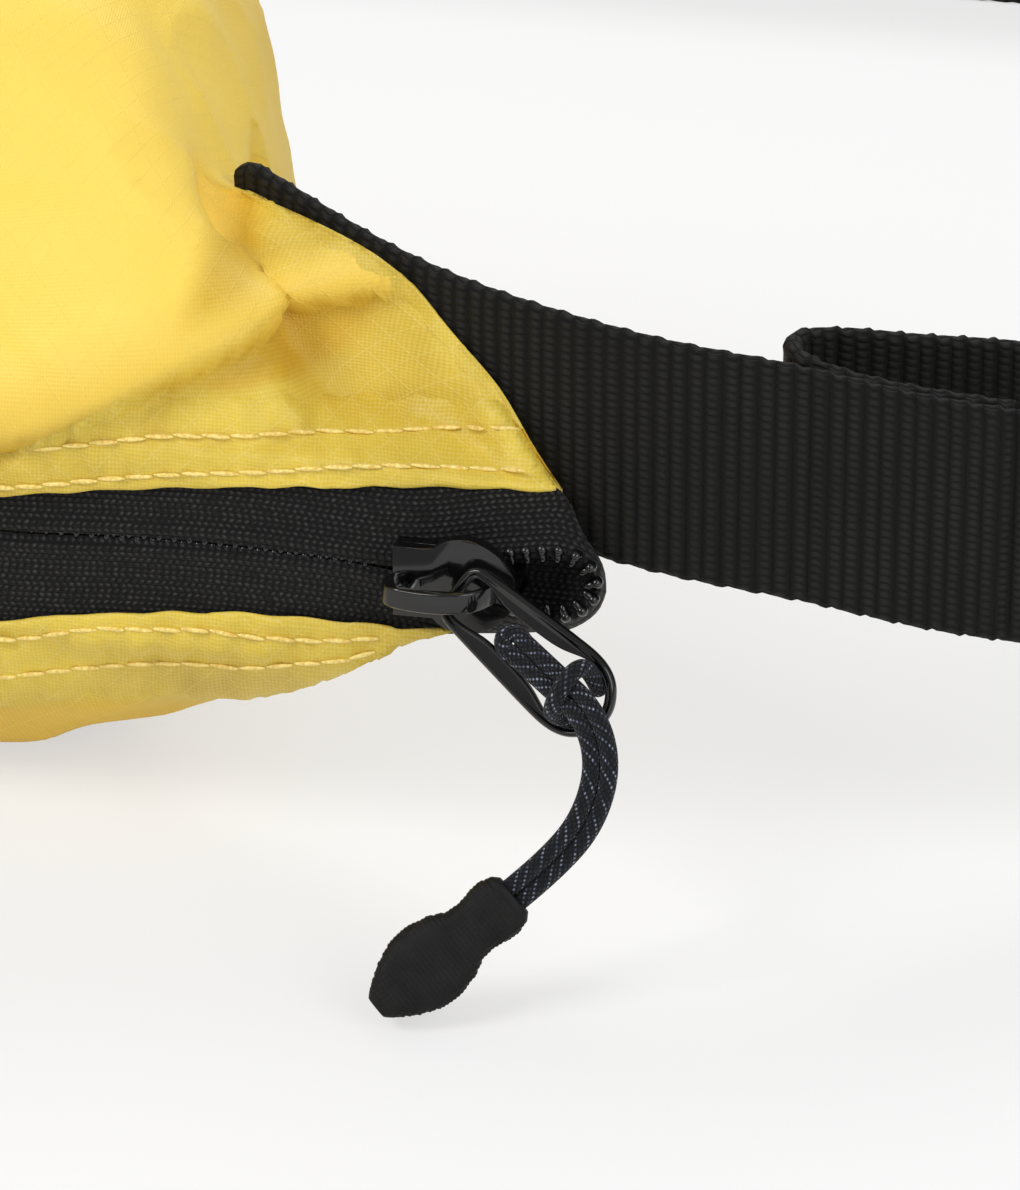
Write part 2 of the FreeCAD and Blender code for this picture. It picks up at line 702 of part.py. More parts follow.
wrap_points = [
    (BAR.x + WRAP_SIDE, BAR.y - 1.0, BUCKLE.z),
    (BAR.x + WRAP_SIDE * 0.85, BAR.y + WRAP_DEEP * 0.8, BUCKLE.z),
    (BAR.x, BAR.y + WRAP_DEEP + 0.3, BUCKLE.z),
    (BAR.x - WRAP_SIDE * 0.85, BAR.y + WRAP_DEEP * 0.8, BUCKLE.z),
    (BAR.x - WRAP_SIDE, BAR.y - 1.0, BUCKLE.z),
]
belt_short = feature("belt_short", webbing(RIGHT_RUN + wrap_points + RETURN_RUN))

# ---------------------------------------------------------------- buckle, in its own frame
# X runs from the mouth towards the plug's end, Y is the thickness and Z the width.
buckle_place = Placement(BUCKLE, Rotation(Z_AXIS, 90))


def buckle_block(name, low_x, long_words, thick_words, wide_words):
    """A block centred on the buckle's axis, from low_x onwards."""
    return box(name, (long_words, thick_words, wide_words),
               (low_x, "-(%s) / 2" % thick_words, "-(%s) / 2" % wide_words))


socket_case = buckle_block(
    "socket_case", "-socket_long", "socket_long", "buckle_thick", "buckle_wide")
socket_round = rounded("socket_round", socket_case, 2.2, lambda edge: along(edge, X_AXIS))
socket_tail = buckle_block(
    "socket_tail", "-socket_long - bar_slot - bar_dia", "bar_slot + bar_dia + 1",
    "bar_dia", "buckle_wide - 1")
socket_rear_slot = buckle_block(
    "socket_rear_slot", "-socket_long - bar_slot", "bar_slot - 0.6", "buckle_thick * 2",
    "web_wide + 2")
socket_blank = fuse("socket_blank", [socket_round, socket_tail])
socket_open_rear = cut("socket_open_rear", socket_blank, socket_rear_slot)
socket_room = buckle_block(
    "socket_room", "-socket_long + buckle_wall", "socket_long", "buckle_thick - buckle_wall * 2",
    "buckle_wide - buckle_wall * 2")
socket_windows = buckle_block(
    "socket_windows", "-socket_long + 5", "socket_long * 0.56", "buckle_thick - buckle_wall * 2",
    "buckle_wide * 2")
socket_cuts = fuse("socket_cuts", [socket_room, socket_windows])
socket = cut("buckle_socket", socket_open_rear, socket_cuts)

plug_bridge = buckle_block(
    "plug_bridge", "prong_clear", "4.4", "buckle_thick - 1", "buckle_wide - 1")
plug_frame = buckle_block(
    "plug_frame", "prong_clear", "20", "bar_dia * 1.2", "buckle_wide - 1")
plug_bridge_round = rounded("plug_bridge_round", plug_bridge, 2.0, lambda edge: along(edge, X_AXIS))
plug_frame_round = rounded("plug_frame_round", plug_frame, 1.4, lambda edge: along(edge, X_AXIS))
plug_slot_one = buckle_block("plug_slot_one", "5.2", "4.4", "buckle_thick * 2", "web_wide + 2")
plug_slot_two = buckle_block("plug_slot_two", "12.4", "4.6", "buckle_thick * 2", "web_wide + 2")
plug_tongue = buckle_block(
    "plug_tongue", "-socket_long + buckle_wall + 1.4", "socket_long - buckle_wall", "3.6", "5")
plug_tongue_round = rounded("plug_tongue_round", plug_tongue, 1.2, lambda edge: along(edge, X_AXIS))
plug_blank = fuse("plug_blank", [plug_bridge_round, plug_frame_round, plug_tongue_round])
plug_slots = fuse("plug_slots", [plug_slot_one, plug_slot_two])
plug = cut("buckle_plug", plug_blank, plug_slots)


PRONG_ROOT = -1.1
PRONG_LEVEL = 9.5
PRONG_HALF = 1.3


def prong(name, side):
    """A spring arm of the plug, with its barbed head; side is 1 for the upper one."""
    body = design_body(name, buckle_place)
    sketch = sketch_on(body, "XZ_Plane", name + "_outline")
    root = Vector(PRONG_ROOT, side * PRONG_LEVEL, 0)
    half = PRONG_HALF
    run = [
        (root.x, -half), (-14, -half), (-20.3, -half * 0.4), (-20.3, half * 0.7),
        (-9.2, 7.0), (-7.6, 7.0), (-8.2, half), (root.x, half),
    ]
    corners = [Vector(x, side * (PRONG_LEVEL + z), 0) for x, z in run]
    for first, second in zip(corners, corners[1:]):
        sketch.addGeometry(Part.LineSegment(first, second), False)
    sketch.addGeometry(Part.Arc(corners[-1], root + Vector(half, 0, 0), corners[0]), False)
    pad(body, sketch, name + "_pad", "buckle_thick - buckle_wall * 2 - 0.5", midplane=True)
    return body


prong_up = prong("buckle_prong_upper", 1)
prong_low = prong("buckle_prong_lower", -1)

# ---------------------------------------------------------------- long belt
LOOP_BAR = BUCKLE + Vector(0, 11, 0)
LOOP_OUT = size("bar_dia") * 0.75 + size("web_thick") / 2 + 0.7
LOOP_DEEP = 3.1
STRAND = size("web_thick") / 2 + 0.1
TAIL_END = 78
tail_run = [
    (BUCKLE.x + STRAND, BUCKLE.y + TAIL_END, BUCKLE.z),
    (BUCKLE.x + STRAND, BUCKLE.y + 58, BUCKLE.z),
    (BUCKLE.x + STRAND, BUCKLE.y + 44, BUCKLE.z),
    (BUCKLE.x + LOOP_OUT, BUCKLE.y + 24, BUCKLE.z),
    (BUCKLE.x + LOOP_OUT, LOOP_BAR.y, BUCKLE.z),
]
loop_run = [
    (BUCKLE.x + LOOP_OUT * 0.97, LOOP_BAR.y - LOOP_DEEP * 0.8, BUCKLE.z),
    (BUCKLE.x, LOOP_BAR.y - LOOP_DEEP, BUCKLE.z),
    (BUCKLE.x - LOOP_OUT * 0.97, LOOP_BAR.y - LOOP_DEEP * 0.8, BUCKLE.z),
]
main_run = [
    (BUCKLE.x - LOOP_OUT, LOOP_BAR.y, BUCKLE.z),
    (BUCKLE.x - LOOP_OUT, BUCKLE.y + 24, BUCKLE.z),
    (BUCKLE.x - STRAND, BUCKLE.y + 44, BUCKLE.z),
    (BUCKLE.x - STRAND, BUCKLE.y + 58, BUCKLE.z),
    (BUCKLE.x - STRAND, BUCKLE.y + 78, BUCKLE.z),
]
BACK_RUN = [
    (261.5, 190, 16.4), (255, 212, 14.6), (240, 230, 13.2), (210, 239.5, STRAP_REST),
    (140, 242, STRAP_REST), (0, 243, STRAP_REST), (-140, 242, STRAP_REST),
    (-210, 238.5, STRAP_REST), (-241, 226, STRAP_REST + 0.1), (-257, 202, STRAP_REST + 0.3),
    (-263, 165, 13.4), (-264, 120, 15), (-260, 75, 18.4), (-250, 37, 23.8), (-231, 3, 31.5),
]
left_run = [(-x, y, z) for x, y, z in reversed(RIGHT_RUN[:9])]
belt_long = feature("belt_long", webbing(tail_run + loop_run + main_run + BACK_RUN + left_run))

# ---------------------------------------------------------------- elastic keeper
KEEPER_AT = 56
keeper_outer = buckle_block(
    "keeper_outer", "%g" % KEEPER_AT, "keeper_wide", "web_thick * 2 + 0.8 + keeper_wall * 2",
    "web_wide + 0.6 + keeper_wall * 2")
keeper_inner = buckle_block(
    "keeper_inner", "%g" % (KEEPER_AT - 1), "keeper_wide + 2", "web_thick * 2 + 0.8",
    "web_wide + 0.6")
keeper_round = rounded("keeper_round", keeper_outer, 0.9, lambda edge: along(edge, X_AXIS))
keeper = cut("strap_keeper", keeper_round, keeper_inner)

# ---------------------------------------------------------------- the shell, trimmed and opened
SLIT_HALF = size("web_thick") / 2 + 0.25
SLIT_LONG = 60
SLIT_STEPS = 12


def belt_slit(side):
    """The slit in the pinched end that the strap's end is sewn into."""
    line = Part.BSplineCurve()
    line.interpolate([Vector(side * x, y, 0) for x, y, z in RIGHT_RUN])
    near = []
    away = []
    for step in range(SLIT_STEPS + 1):
        place = line.parameterAtDistance(SLIT_LONG * step / SLIT_STEPS)
        heading = line.tangent(place)[0]
        out = Vector(-heading.y, heading.x, 0).normalize() * SLIT_HALF
        near.append(line.value(place) + out)
        away.insert(0, line.value(place) - out)
    back = line.tangent(line.FirstParameter)[0] * -1.0
    near.insert(0, near[0] + back)
    away.append(away[-1] + back)
    slit = Part.Face(bounded(near + away)).extrude(Vector(0, 0, 60))
    slit.translate(Vector(0, 0, 20))
    return slit


slit_right = feature("slit_right", belt_slit(1))
slit_left = feature("slit_left", belt_slit(-1))
shell_right = cut("shell_right", bag_solid, trim_right)
shell_left = cut("shell_left", shell_right, trim_left)
shell_slot = cut("shell_slot", shell_left, slot)
shell_slits = cut("shell_slits", shell_slot, slit_right)
under_base = box("under_base", ("2 * zip_half", "200", "20"), ("-zip_half", "-100", "-20"))
shell_flat = cut("shell_flat", shell_slits, slit_left)
shell_whole = cut("shell_whole", shell_flat, under_base)
back_room = box("back_room", ("4 * zip_half", "60", "120"), ("-2 * zip_half", "back_seam", "-5"))
low_room = box(
    "low_room", ("4 * zip_half", "back_seam + 60", "zip_level + 5"), ("-2 * zip_half", "-60", "-5"))
back = common("bag_back", shell_whole, back_room)
shell_front = cut("shell_front", shell_whole, back_room)
base = common("bag_base", shell_front, low_room)
shell = cut("bag_shell", shell_front, low_room)

# ---------------------------------------------------------------- check and write
for item in (socket, plug, keeper):
    item.Placement = buckle_place
NODES = [
    shell, base, back, tape_up, tape_low, coil_up, coil_low, slider, bridge, lock, ring, cord, grip,
    belt_short, belt_long, socket, plug, prong_up, prong_low, keeper,
]
doc.recompute()
for item in doc.Objects:
    if "Invalid" in item.State or "Error" in item.State:
        raise RuntimeError("%s did not build: %s" % (item.Name, item.State))
for piece in NODES:
    piece.Label = piece.Name
    if piece.Shape.isNull() or not piece.Shape.isValid():
        raise RuntimeError("%s has no valid shape" % piece.Name)
    piece.Shape.exportStep("parts/%s.step" % piece.Label)
    print("%-20s solids %d volume %9.1f faces %d" % (
        piece.Label, len(piece.Shape.Solids), piece.Shape.Volume, len(piece.Shape.Faces)))
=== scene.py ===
"""The looks of a soft zipped bag with a webbing belt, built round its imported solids."""
import math

import bmesh
import bpy
import numpy as np
from mathutils import Matrix, Vector, noise
from mathutils.bvhtree import BVHTree


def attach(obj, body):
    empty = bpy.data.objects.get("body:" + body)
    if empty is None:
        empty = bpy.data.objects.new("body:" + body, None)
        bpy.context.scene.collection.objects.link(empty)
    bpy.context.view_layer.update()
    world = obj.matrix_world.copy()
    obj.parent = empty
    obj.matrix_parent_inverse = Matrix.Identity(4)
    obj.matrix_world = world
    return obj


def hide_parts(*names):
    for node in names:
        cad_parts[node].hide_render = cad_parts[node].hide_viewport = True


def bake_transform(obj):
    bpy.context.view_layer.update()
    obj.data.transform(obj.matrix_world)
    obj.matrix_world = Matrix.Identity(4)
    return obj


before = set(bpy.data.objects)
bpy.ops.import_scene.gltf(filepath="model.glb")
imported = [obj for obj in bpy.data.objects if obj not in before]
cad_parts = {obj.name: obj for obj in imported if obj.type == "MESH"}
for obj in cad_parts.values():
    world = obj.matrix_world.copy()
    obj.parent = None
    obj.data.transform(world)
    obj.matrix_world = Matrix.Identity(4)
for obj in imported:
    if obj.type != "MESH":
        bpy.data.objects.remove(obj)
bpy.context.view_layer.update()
MM = 0.001

# ------------------------------------------------------------ camera, lights and floor
scene = bpy.context.scene
scene.view_settings.view_transform = "Standard"
camera_data = bpy.data.cameras.new("view")
camera_data.lens = 181.5
camera_data.sensor_width = 36
camera_data.clip_start = 0.01
camera_data.clip_end = 20
camera = bpy.data.objects.new("view", camera_data)
camera.location = (0.2870, -0.5667, 0.2867)
aim = Vector((0.1554, -0.0391, 0.0331)) - camera.location
camera.rotation_euler = aim.to_track_quat("-Z", "Y").to_euler()
scene.collection.objects.link(camera)
scene.camera = camera


def placed(name, data):
    """A new object in the scene, at the origin."""
    item = bpy.data.objects.new(name, data)
    scene.collection.objects.link(item)
    return item


def soft_box(name, place, target, size, power):
    """A studio light aimed at a point."""
    lamp = bpy.data.lights.new(name, "AREA")
    lamp.shape = "RECTANGLE"
    lamp.size, lamp.size_y = size
    lamp.energy = power
    holder = placed(name, lamp)
    holder.location = place
    holder.rotation_euler = (Vector(target) - Vector(place)).to_track_quat("-Z", "Y").to_euler()


soft_box("key", (-0.9, -1.1, 1.5), (0.1, 0, 0.03), (0.9, 0.9), 19)
soft_box("fill", (1.4, -1.0, 1.0), (0.1, 0, 0.03), (1.2, 1.2), 12)
soft_box("back", (0.2, 1.4, 1.6), (0.05, 0, 0.03), (1.6, 0.8), 14)


def seen_mix(tree, unseen, seen, target, share=1.0):
    """Mix two shaders, so that a share of the second shows where the camera sees the surface itself."""
    path = tree.nodes.new("ShaderNodeLightPath")
    part = tree.nodes.new("ShaderNodeMath")
    part.operation = "MULTIPLY"
    part.inputs[1].default_value = share
    mix = tree.nodes.new("ShaderNodeMixShader")
    tree.links.new(path.outputs["Is Camera Ray"], part.inputs[0])
    for source, socket in zip((part, unseen, seen), mix.inputs):
        tree.links.new(source.outputs[0], socket)
    tree.links.new(mix.outputs[0], target.inputs[0])


def paper_world():
    """White behind the object, and a plain level of light from all round."""
    world = bpy.data.worlds.new("studio")
    world.use_nodes = True
    scene.world = world
    tree = world.node_tree
    tree.nodes.clear()
    skies = []
    for strength in (0.5, 1.0):
        sky = tree.nodes.new("ShaderNodeBackground")
        sky.inputs["Strength"].default_value = strength
        skies.append(sky)
    seen_mix(tree, *skies, tree.nodes.new("ShaderNodeOutputWorld"))


def floor_paper():
    """Matt white paper that keeps its shadows, lifted towards plain white where it is seen directly."""
    white = (0.95, 0.95, 0.95, 1)
    paper = bpy.data.materials.new("pale_floor")
    paper.use_nodes = True
    tree = paper.node_tree
    shader = tree.nodes["Principled BSDF"]
    shader.inputs["Base Color"].default_value = white
    shader.inputs["Roughness"].default_value = 0.95
    shader.inputs["Specular IOR Level"].default_value = 0.1
    glow = tree.nodes.new("ShaderNodeEmission")
    glow.inputs["Color"].default_value = white
    out = next(n for n in tree.nodes if n.type == "OUTPUT_MATERIAL")
    seen_mix(tree, shader, glow, out, 0.62)
    return paper


def pale_floor():
    bm = bmesh.new()
    bmesh.ops.create_grid(bm, x_segments=1, y_segments=1, size=6)
    mesh = bpy.data.meshes.new("floor")
    bm.to_mesh(mesh)
    bm.free()
    mesh.materials.append(floor_paper())
    placed("floor", mesh)


paper_world()
pale_floor()


# ------------------------------------------------------------ small helpers
def millimetres(*place):
    return Vector(place) * MM


def made(name, mesh, body, material, *nodes, slot=None):
    """Put a finished mesh in the scene, on its body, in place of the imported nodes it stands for."""
    piece = placed(name, mesh)
    mesh.materials.append(material)
    mesh.polygons.foreach_set("use_smooth", [True] * len(mesh.polygons))
    if body:
        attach(piece, body)
    if nodes:
        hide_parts(*nodes)
    return piece


def opened(*meshes):
    """One editable mesh holding copies of the given ones."""
    bm = bmesh.new()
    for mesh in meshes:
        bm.from_mesh(mesh)
    return bm


def mesh_of(bm, name):
    mesh = bpy.data.meshes.new(name)
    bm.to_mesh(mesh)
    bm.free()
    return mesh


def joined(name, *meshes):
    bm = opened(*meshes)
    for mesh in meshes:
        bpy.data.meshes.remove(mesh)
    return mesh_of(bm, name)


def baked(holder):
    """The final mesh of an object, which goes away."""
    graph = bpy.context.evaluated_depsgraph_get()
    result = bpy.data.meshes.new_from_object(holder.evaluated_get(graph))
    bpy.data.objects.remove(holder)
    return result


def with_modifier(mesh, kind, **values):
    """The mesh with a modifier applied."""
    holder = placed("holder", mesh)
    modifier = holder.modifiers.new(kind.lower(), kind)
    for key, value in values.items():
        setattr(modifier, key, value)
    result = baked(holder)
    bpy.data.meshes.remove(mesh)
    return result


def line_at(points, x):
    """Height of a line of (x, z) points at x, or at every x of a row."""
    return np.interp(x, *zip(*sorted(points)))


def rise(values, start, width):
    """A share that grows from 0 at start to 1 a width further on."""
    return np.clip((values - start) / width, 0, 1)


def fall(values, end, width):
    """A share that shrinks from 1 to 0 over a width, down to 0 at end."""
    return np.clip((end - values) / width, 0, 1)


def smooth_run(points, step):
    """Evenly spaced places on one smooth curve through points, in millimetres."""
    knots = np.array(points, float)
    gaps = np.linalg.norm(np.diff(knots, axis=0), axis=1)
    count = len(knots)
    system = np.zeros((count, count))
    right = np.zeros(knots.shape)
    system[0, 0] = system[-1, -1] = 1
    for i in range(1, count - 1):
        system[i, i - 1:i + 2] = gaps[i - 1], 2 * (gaps[i - 1] + gaps[i]), gaps[i]
        right[i] = 6 * ((knots[i + 1] - knots[i]) / gaps[i] - (knots[i] - knots[i - 1]) / gaps[i - 1])
    bend = np.linalg.solve(system, right)
    places = []
    for i, gap in enumerate(gaps):
        for share in np.linspace(0, 1, max(int(gap / 0.25), 4), endpoint=False):
            a, b = 1 - share, share
            places.append(a * knots[i] + b * knots[i + 1] + gap * gap / 6 * (
                (a ** 3 - a) * bend[i] + (b ** 3 - b) * bend[i + 1]))
    places = np.array(places + [knots[-1]])
    along = np.concatenate([[0], np.cumsum(np.linalg.norm(np.diff(places, axis=0), axis=1))])
    even = np.linspace(0, along[-1], int(along[-1] / step) + 1)
    return np.column_stack([np.interp(even, along, axis) for axis in places.T]), even


def heading_at(line, i):
    """From the place before to the place after, on a line of places."""
    return line[min(i + 1, len(line) - 1)] - line[max(i - 1, 0)]


def uv_from(mesh, values, name="weave"):
    """Store a (u, v) pair for every vertex as the mesh's UV map."""
    layer = mesh.uv_layers.new(name=name)
    corners = np.empty(len(mesh.loops), int)
    mesh.loops.foreach_get("vertex_index", corners)
    layer.data.foreach_set("uv", np.asarray(values, np.float32)[corners].ravel())


def skin(name, rows, pairs, solid=True):
    """A grid laid over rows of places in millimetres, joined where its edges meet and closed at its ends."""
    bm = bmesh.new()
    bmesh.ops.create_grid(bm, x_segments=len(rows[0]) - 1, y_segments=len(rows) - 1, size=1)
    order = sorted(bm.verts, key=lambda v: (round(v.co.y, 6), round(v.co.x, 6)))
    number = {vert: k for k, vert in enumerate(order)}
    bm.verts.index_update()
    mapped = [pairs[number[vert]] for vert in bm.verts]
    for vert, place in zip(order, (place for row in rows for place in row)):
        vert.co = Vector(place) * MM
    mesh = mesh_of(bm, name)
    uv_from(mesh, mapped)
    bm = opened(mesh)
    if solid:
        bmesh.ops.remove_doubles(bm, verts=bm.verts, dist=0.004 * MM)
        bmesh.ops.holes_fill(bm, edges=[e for e in bm.edges if e.is_boundary], sides=0)
    bmesh.ops.recalc_face_normals(bm, faces=bm.faces)
    if not solid and sum(f.normal.y for f in bm.faces) > 0:
        bmesh.ops.reverse_faces(bm, faces=bm.faces)
    bm.to_mesh(mesh)
    bm.free()
    return mesh


# Lines drawn on the bag's front face keep their look in the main view when the cloth under them lies further back.
VIEW_PLACE = camera.location / MM
NEAR_FACE = -40.0
CHAIN_LEVEL = 35
VIEW_REACH = NEAR_FACE - VIEW_PLACE.y


def set_back(x, z, y):
    """The place at depth y that the main view shows at (x, z) of the bag's front face; mirrored at the far end."""
    turn = min(max(x / 60, -1), 1)
    share = (y - NEAR_FACE) / VIEW_REACH
    return Vector((x - (VIEW_PLACE.x * turn - x) * share, y, z - (VIEW_PLACE.z - z) * share))


def seen_on_face(places):
    """Where the main view shows places on the front face: (x, z), with how much smaller they look."""
    scale = VIEW_REACH / (places[:, 1] - VIEW_PLACE.y)
    return (VIEW_PLACE.x + (np.abs(places[:, 0]) - VIEW_PLACE.x) * scale,
            VIEW_PLACE.z + (places[:, 2] - VIEW_PLACE.z) * scale, scale)


# ------------------------------------------------------------ the fabric body
SHELL_NODES = ("bag_shell", "bag_base", "bag_back")
RIGHT_RUN = [
    (121, -15.3, 55.5), (131, -20.6, 52.8), (142, -25.6, 50.3), (153, -29.8, 48.8), (165, -33.2, 48),
    (174, -34.6, 47.4), (183, -34.2, 46.3), (193, -31.6, 43.8), (204, -27, 40.8),
    (228, -11, 33.5), (248, 14, 26), (259, 38, 20), (265.6, 52, 17.4),
]
SEAM_EDGE = [(66.0, 122.0), (64.5, 129.0), (63.2, 136.0), (60.6, 142.0), (56.8, 146.8), (51.8, 151.9),
             (47.4, 156.1), (43.0, 159.0), (40, 159.8), (36, 160.6), (31, 160), (27, 158), (20, 154)]
SEAM_FRONT = [(74.3, 128.7), (72.2, 134.5), (69.6, 140.5), (66.1, 145.6), (61.5, 149.6), (55.7, 154.7),
              (50.6, 157.7), (45.6, 161.0), (42, 162.0), (38, 162.6), (34, 162.6), (30, 161), (26, 158)]
UNDER_FRONT = [(60, -14), (84, -4), (95, 5.6), (101.3, 9.1), (107.9, 12.2), (110.1, 13.6), (118.7, 15.7),
               (121.9, 16.6), (131.6, 19.9), (138.5, 23.1), (142.2, 25.5), (144.3, 27.0), (148.4, 28.7),
               (152, 30.2), (160, 32), (170, 34)]


CUT_LEVEL = 35 * MM
CUT_BACK = 40 * MM
CLOTH_CELL = 1.25


def inner_cut(face):
    """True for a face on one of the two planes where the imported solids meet."""
    at_level = all(abs(v.co.z - CUT_LEVEL) < 2e-6 for v in face.verts)
    at_back = all(abs(v.co.y - CUT_BACK) < 2e-6 for v in face.verts)
    return at_level or at_back


def run_y(x):
    """Depth of the strap's middle inside the end seam."""
    return line_at([(place[0], place[1]) for place in RIGHT_RUN[:9]], np.abs(x))


SLIT_FROM = 119.8
SLIT_HALF = 1.45
SLIT_STEPS = 23


def slit_filler(bm, side):
    """Fills the slit that the strap is sewn into, so that the cloth closes over it."""
    line, _ = smooth_run([(side * x, y, 0) for x, y, _ in RIGHT_RUN[:7]], 1.5)
    levels = np.arange(19, 67, 2.0)
    sheet = bmesh.new()
    bmesh.ops.create_grid(sheet, x_segments=len(levels) - 1, y_segments=SLIT_STEPS, size=1)
    order = sorted(sheet.verts, key=lambda v: (round(v.co.y, 6), round(v.co.x, 6)))
    reach = np.abs(line[:, 0])
    k = 0
    for step in range(SLIT_STEPS + 1):
        for z in levels:
            x = SLIT_FROM + (line_at(SEAM_EDGE, z) - 0.5 - SLIT_FROM) * step / SLIT_STEPS
            order[k].co = millimetres(side * x, np.interp(x, reach, line[:, 1]) + SLIT_HALF, z)
            k += 1
    skin = bmesh.ops.extrude_face_region(sheet, geom=list(sheet.faces))
    moved = [g for g in skin["geom"] if isinstance(g, bmesh.types.BMVert)]
    bmesh.ops.translate(sheet, verts=moved, vec=millimetres(0, -2 * SLIT_HALF, 0))
    bmesh.ops.recalc_face_normals(sheet, faces=sheet.faces)
    mesh = mesh_of(sheet, "filler")
    bm.from_mesh(mesh)
    bpy.data.meshes.remove(mesh)


def blank_body():
    """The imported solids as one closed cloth."""
    bm = opened(*(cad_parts[node].data for node in SHELL_NODES))
    bmesh.ops.remove_doubles(bm, verts=bm.verts, dist=1e-6)
    bmesh.ops.delete(bm, geom=[f for f in bm.faces if inner_cut(f)], context="FACES")
    for side in (1, -1):
        slit_filler(bm, side)
    return with_modifier(mesh_of(bm, "blank"), "REMESH", mode="VOXEL", voxel_size=CLOTH_CELL * MM)


ROLL_FRONT = [(20, 60), (60, 50), (82, 42.6), (92, 40.6), (102.5, 42.8), (106.9, 45.6), (111.2, 48.3),
              (114.6, 50.4), (122.5, 55.4), (128.2, 58.5), (133.8, 61.1), (140.4, 64.0), (144.6, 65.8)]
ROLL_EDGE = ((139, -26, 59.6), (134, -26, 58.2), (130, -26.5, 56.6), (126, -32.6, 55.0), (121, -36.2, 53.2),
             (114, -38.7, 49.8), (108, -39, 46.9), (98, -39.5, 43.0), (80, -39.5, 38.5))
END_PANEL = [(51.5, 122), (52.5, 127), (54.5, 133), (58.6, 138.5), (61.5, 141), (66, 144)]
FOLDS = [
    # points in millimetres, half width above, half width below, height
    (ROLL_EDGE, 8.0, 0.5, 3.7),
    (((143, -28.5, 60.3), (139, -26, 59.6), (134, -26, 58.2), (130, -26.5, 56.6), (126, -31, 55.4)), 3.5, 0.5, 1.6),
    (((119.6, -17, 71), (119.0, -19.5, 66), (119.2, -22, 61.5), (120.6, -25, 58)), 2.3, 2.3, -2.4),
    (((118, -20, 66), (112, -26, 62), (100, -31, 60), (80, -34, 60)), 3.2, 3.2, 0.9),
    (((128, -20, 64), (124, -23, 61), (115, -29, 61), (104, -33, 60)), 2.0, 2.0, 0.9),
    (((117, -24, 61), (106, -32, 59), (90, -35, 57)), 2.2, 2.2, -0.8),
    (((146, -31, 52), (139, -31, 50), (131, -34, 50)), 2.2, 2.2, 0.8),
    (((150, -33.5, 47), (143, -31, 47.5), (137, -32, 47)), 1.8, 1.8, -0.7),
    (((119, -37, 17.8), (113, -35.5, 15.4), (104, -33.5, 12.0)), 2.0, 2.0, -0.8),
    (((131, -36, 19.5), (124, -35, 16.2), (116, -33, 12.5)), 1.8, 1.8, 0.7),
    (((141, -37, 24), (134, -36, 20), (127, -34, 16)), 1.6, 1.6, -0.5),
    (((112, -10, 78), (100, -14, 86), (84, -18, 92)), 4.5, 4.5, -1.6),
    (((116, -2, 70), (104, 0, 84), (84, -4, 94)), 5.0, 5.0, 1.2),
]


def fold_lines():
    """Every named fold, and its like at the other end of the bag."""
    lines = []
    for points, above, below, high in FOLDS:
        lines.append((points, above, below, high))
        lines.append(([(-x * 0.985, y + 0.6, z - 0.8) for x, y, z in points], above, below, high * 0.8))
    return lines


def nearest_share(spots, start, end):
    """Distance of each spot from a segment, and where along it that is."""
    run = end - start
    share = np.clip((spots - start) @ run / (run @ run), 0, 1)
    return np.linalg.norm(spots - (start + share[:, None] * run), axis=1), share


def fold_push(spots):
    """How far the folds move each spot along its normal."""
    push = np.zeros(len(spots))
    for points, above, below, high in fold_lines():
        line = np.array(points, float)
        lengths = np.linalg.norm(np.diff(line, axis=0), axis=1)
        total = lengths.sum()
        best = np.full(len(spots), 1e9)
        place = np.zeros(len(spots))
        level = np.zeros(len(spots))
        done = 0
        for i, length in enumerate(lengths):
            gap, share = nearest_share(spots, line[i], line[i + 1])
            closer = gap < best
            best = np.where(closer, gap, best)
            place = np.where(closer, (done + share * length) / total, place)
            level = np.where(closer, line[i][2] + share * (line[i + 1][2] - line[i][2]), level)
            done += length
        fade = np.clip(np.minimum(place, 1 - place) * 5, 0, 1)
        side = 1 / (1 + np.exp(-(spots[:, 2] - level) / 0.35))
        spread = (below + (above - below) * side) * (0.7 + 0.9 * place)
        push += high * np.exp(-(best / spread) ** 2) * (0.2 + 0.8 * fade)
    return push


def soft_noise(spots, scale, seed):
    return np.array([noise.noise(Vector(s) / scale + Vector((seed, seed * 1.7, -seed))) for s in spots])


SLOT_HALF = 7.0
HEM_WIDE = 10.3
BEHIND_TAPE = -38.7
SWELLS = [
    # place, reach and height of the broad swells and hollows, in millimetres
    (113, 20, 60, 26, 3.0), (-113, 20, 60, 26, 2.0), (124, -30, 10, 13, -2.6), (-124, -30, 10, 13, -2.0),
    (0, -20, 88, 60, 2.0), (40, 44, 50, 40, 1.5), (-60, 44, 60, 35, -1.5),
]


def trimmed(places, before):
    """Draw the cloth in under the zipper's end, keep it inside the end seams, over the strap, off the ground."""
    far = np.abs(places[:, 0])
    cover = (far > 118) & (far < 165) & (before[:, 1] < run_y(far) + 0.3) & (places[:, 2] < 72)
    places[:, 1] = np.where(cover, np.minimum(places[:, 1], run_y(far) - 1.5), places[:, 1])
    seen_x, seen_z, scale = seen_on_face(places)
    below = (line_at(UNDER_FRONT, seen_x) - seen_z) / scale
    in_front = rise(-places[:, 1], 0, 10)
    lift = np.clip(below, 0, None) * in_front
    places[:, 2] = np.maximum(places[:, 2] + lift, 0)
    seen_x, seen_z, scale = seen_on_face(places)
    limit = line_at(SEAM_FRONT, seen_z) - 0.1
    under_tape = rise(seen_z - line_at(HEM_DOWN, seen_x), -2.5, 1) * (seen_z < 36)
    places[:, 1] += under_tape * np.clip(BEHIND_TAPE - places[:, 1], 0, None)
    excess = np.clip(seen_x - limit, 0, None) / scale * rise(far, 117, 4) * (places[:, 1] < 0)
    places[:, 0] -= np.sign(places[:, 0]) * excess
    return places, lift > 0


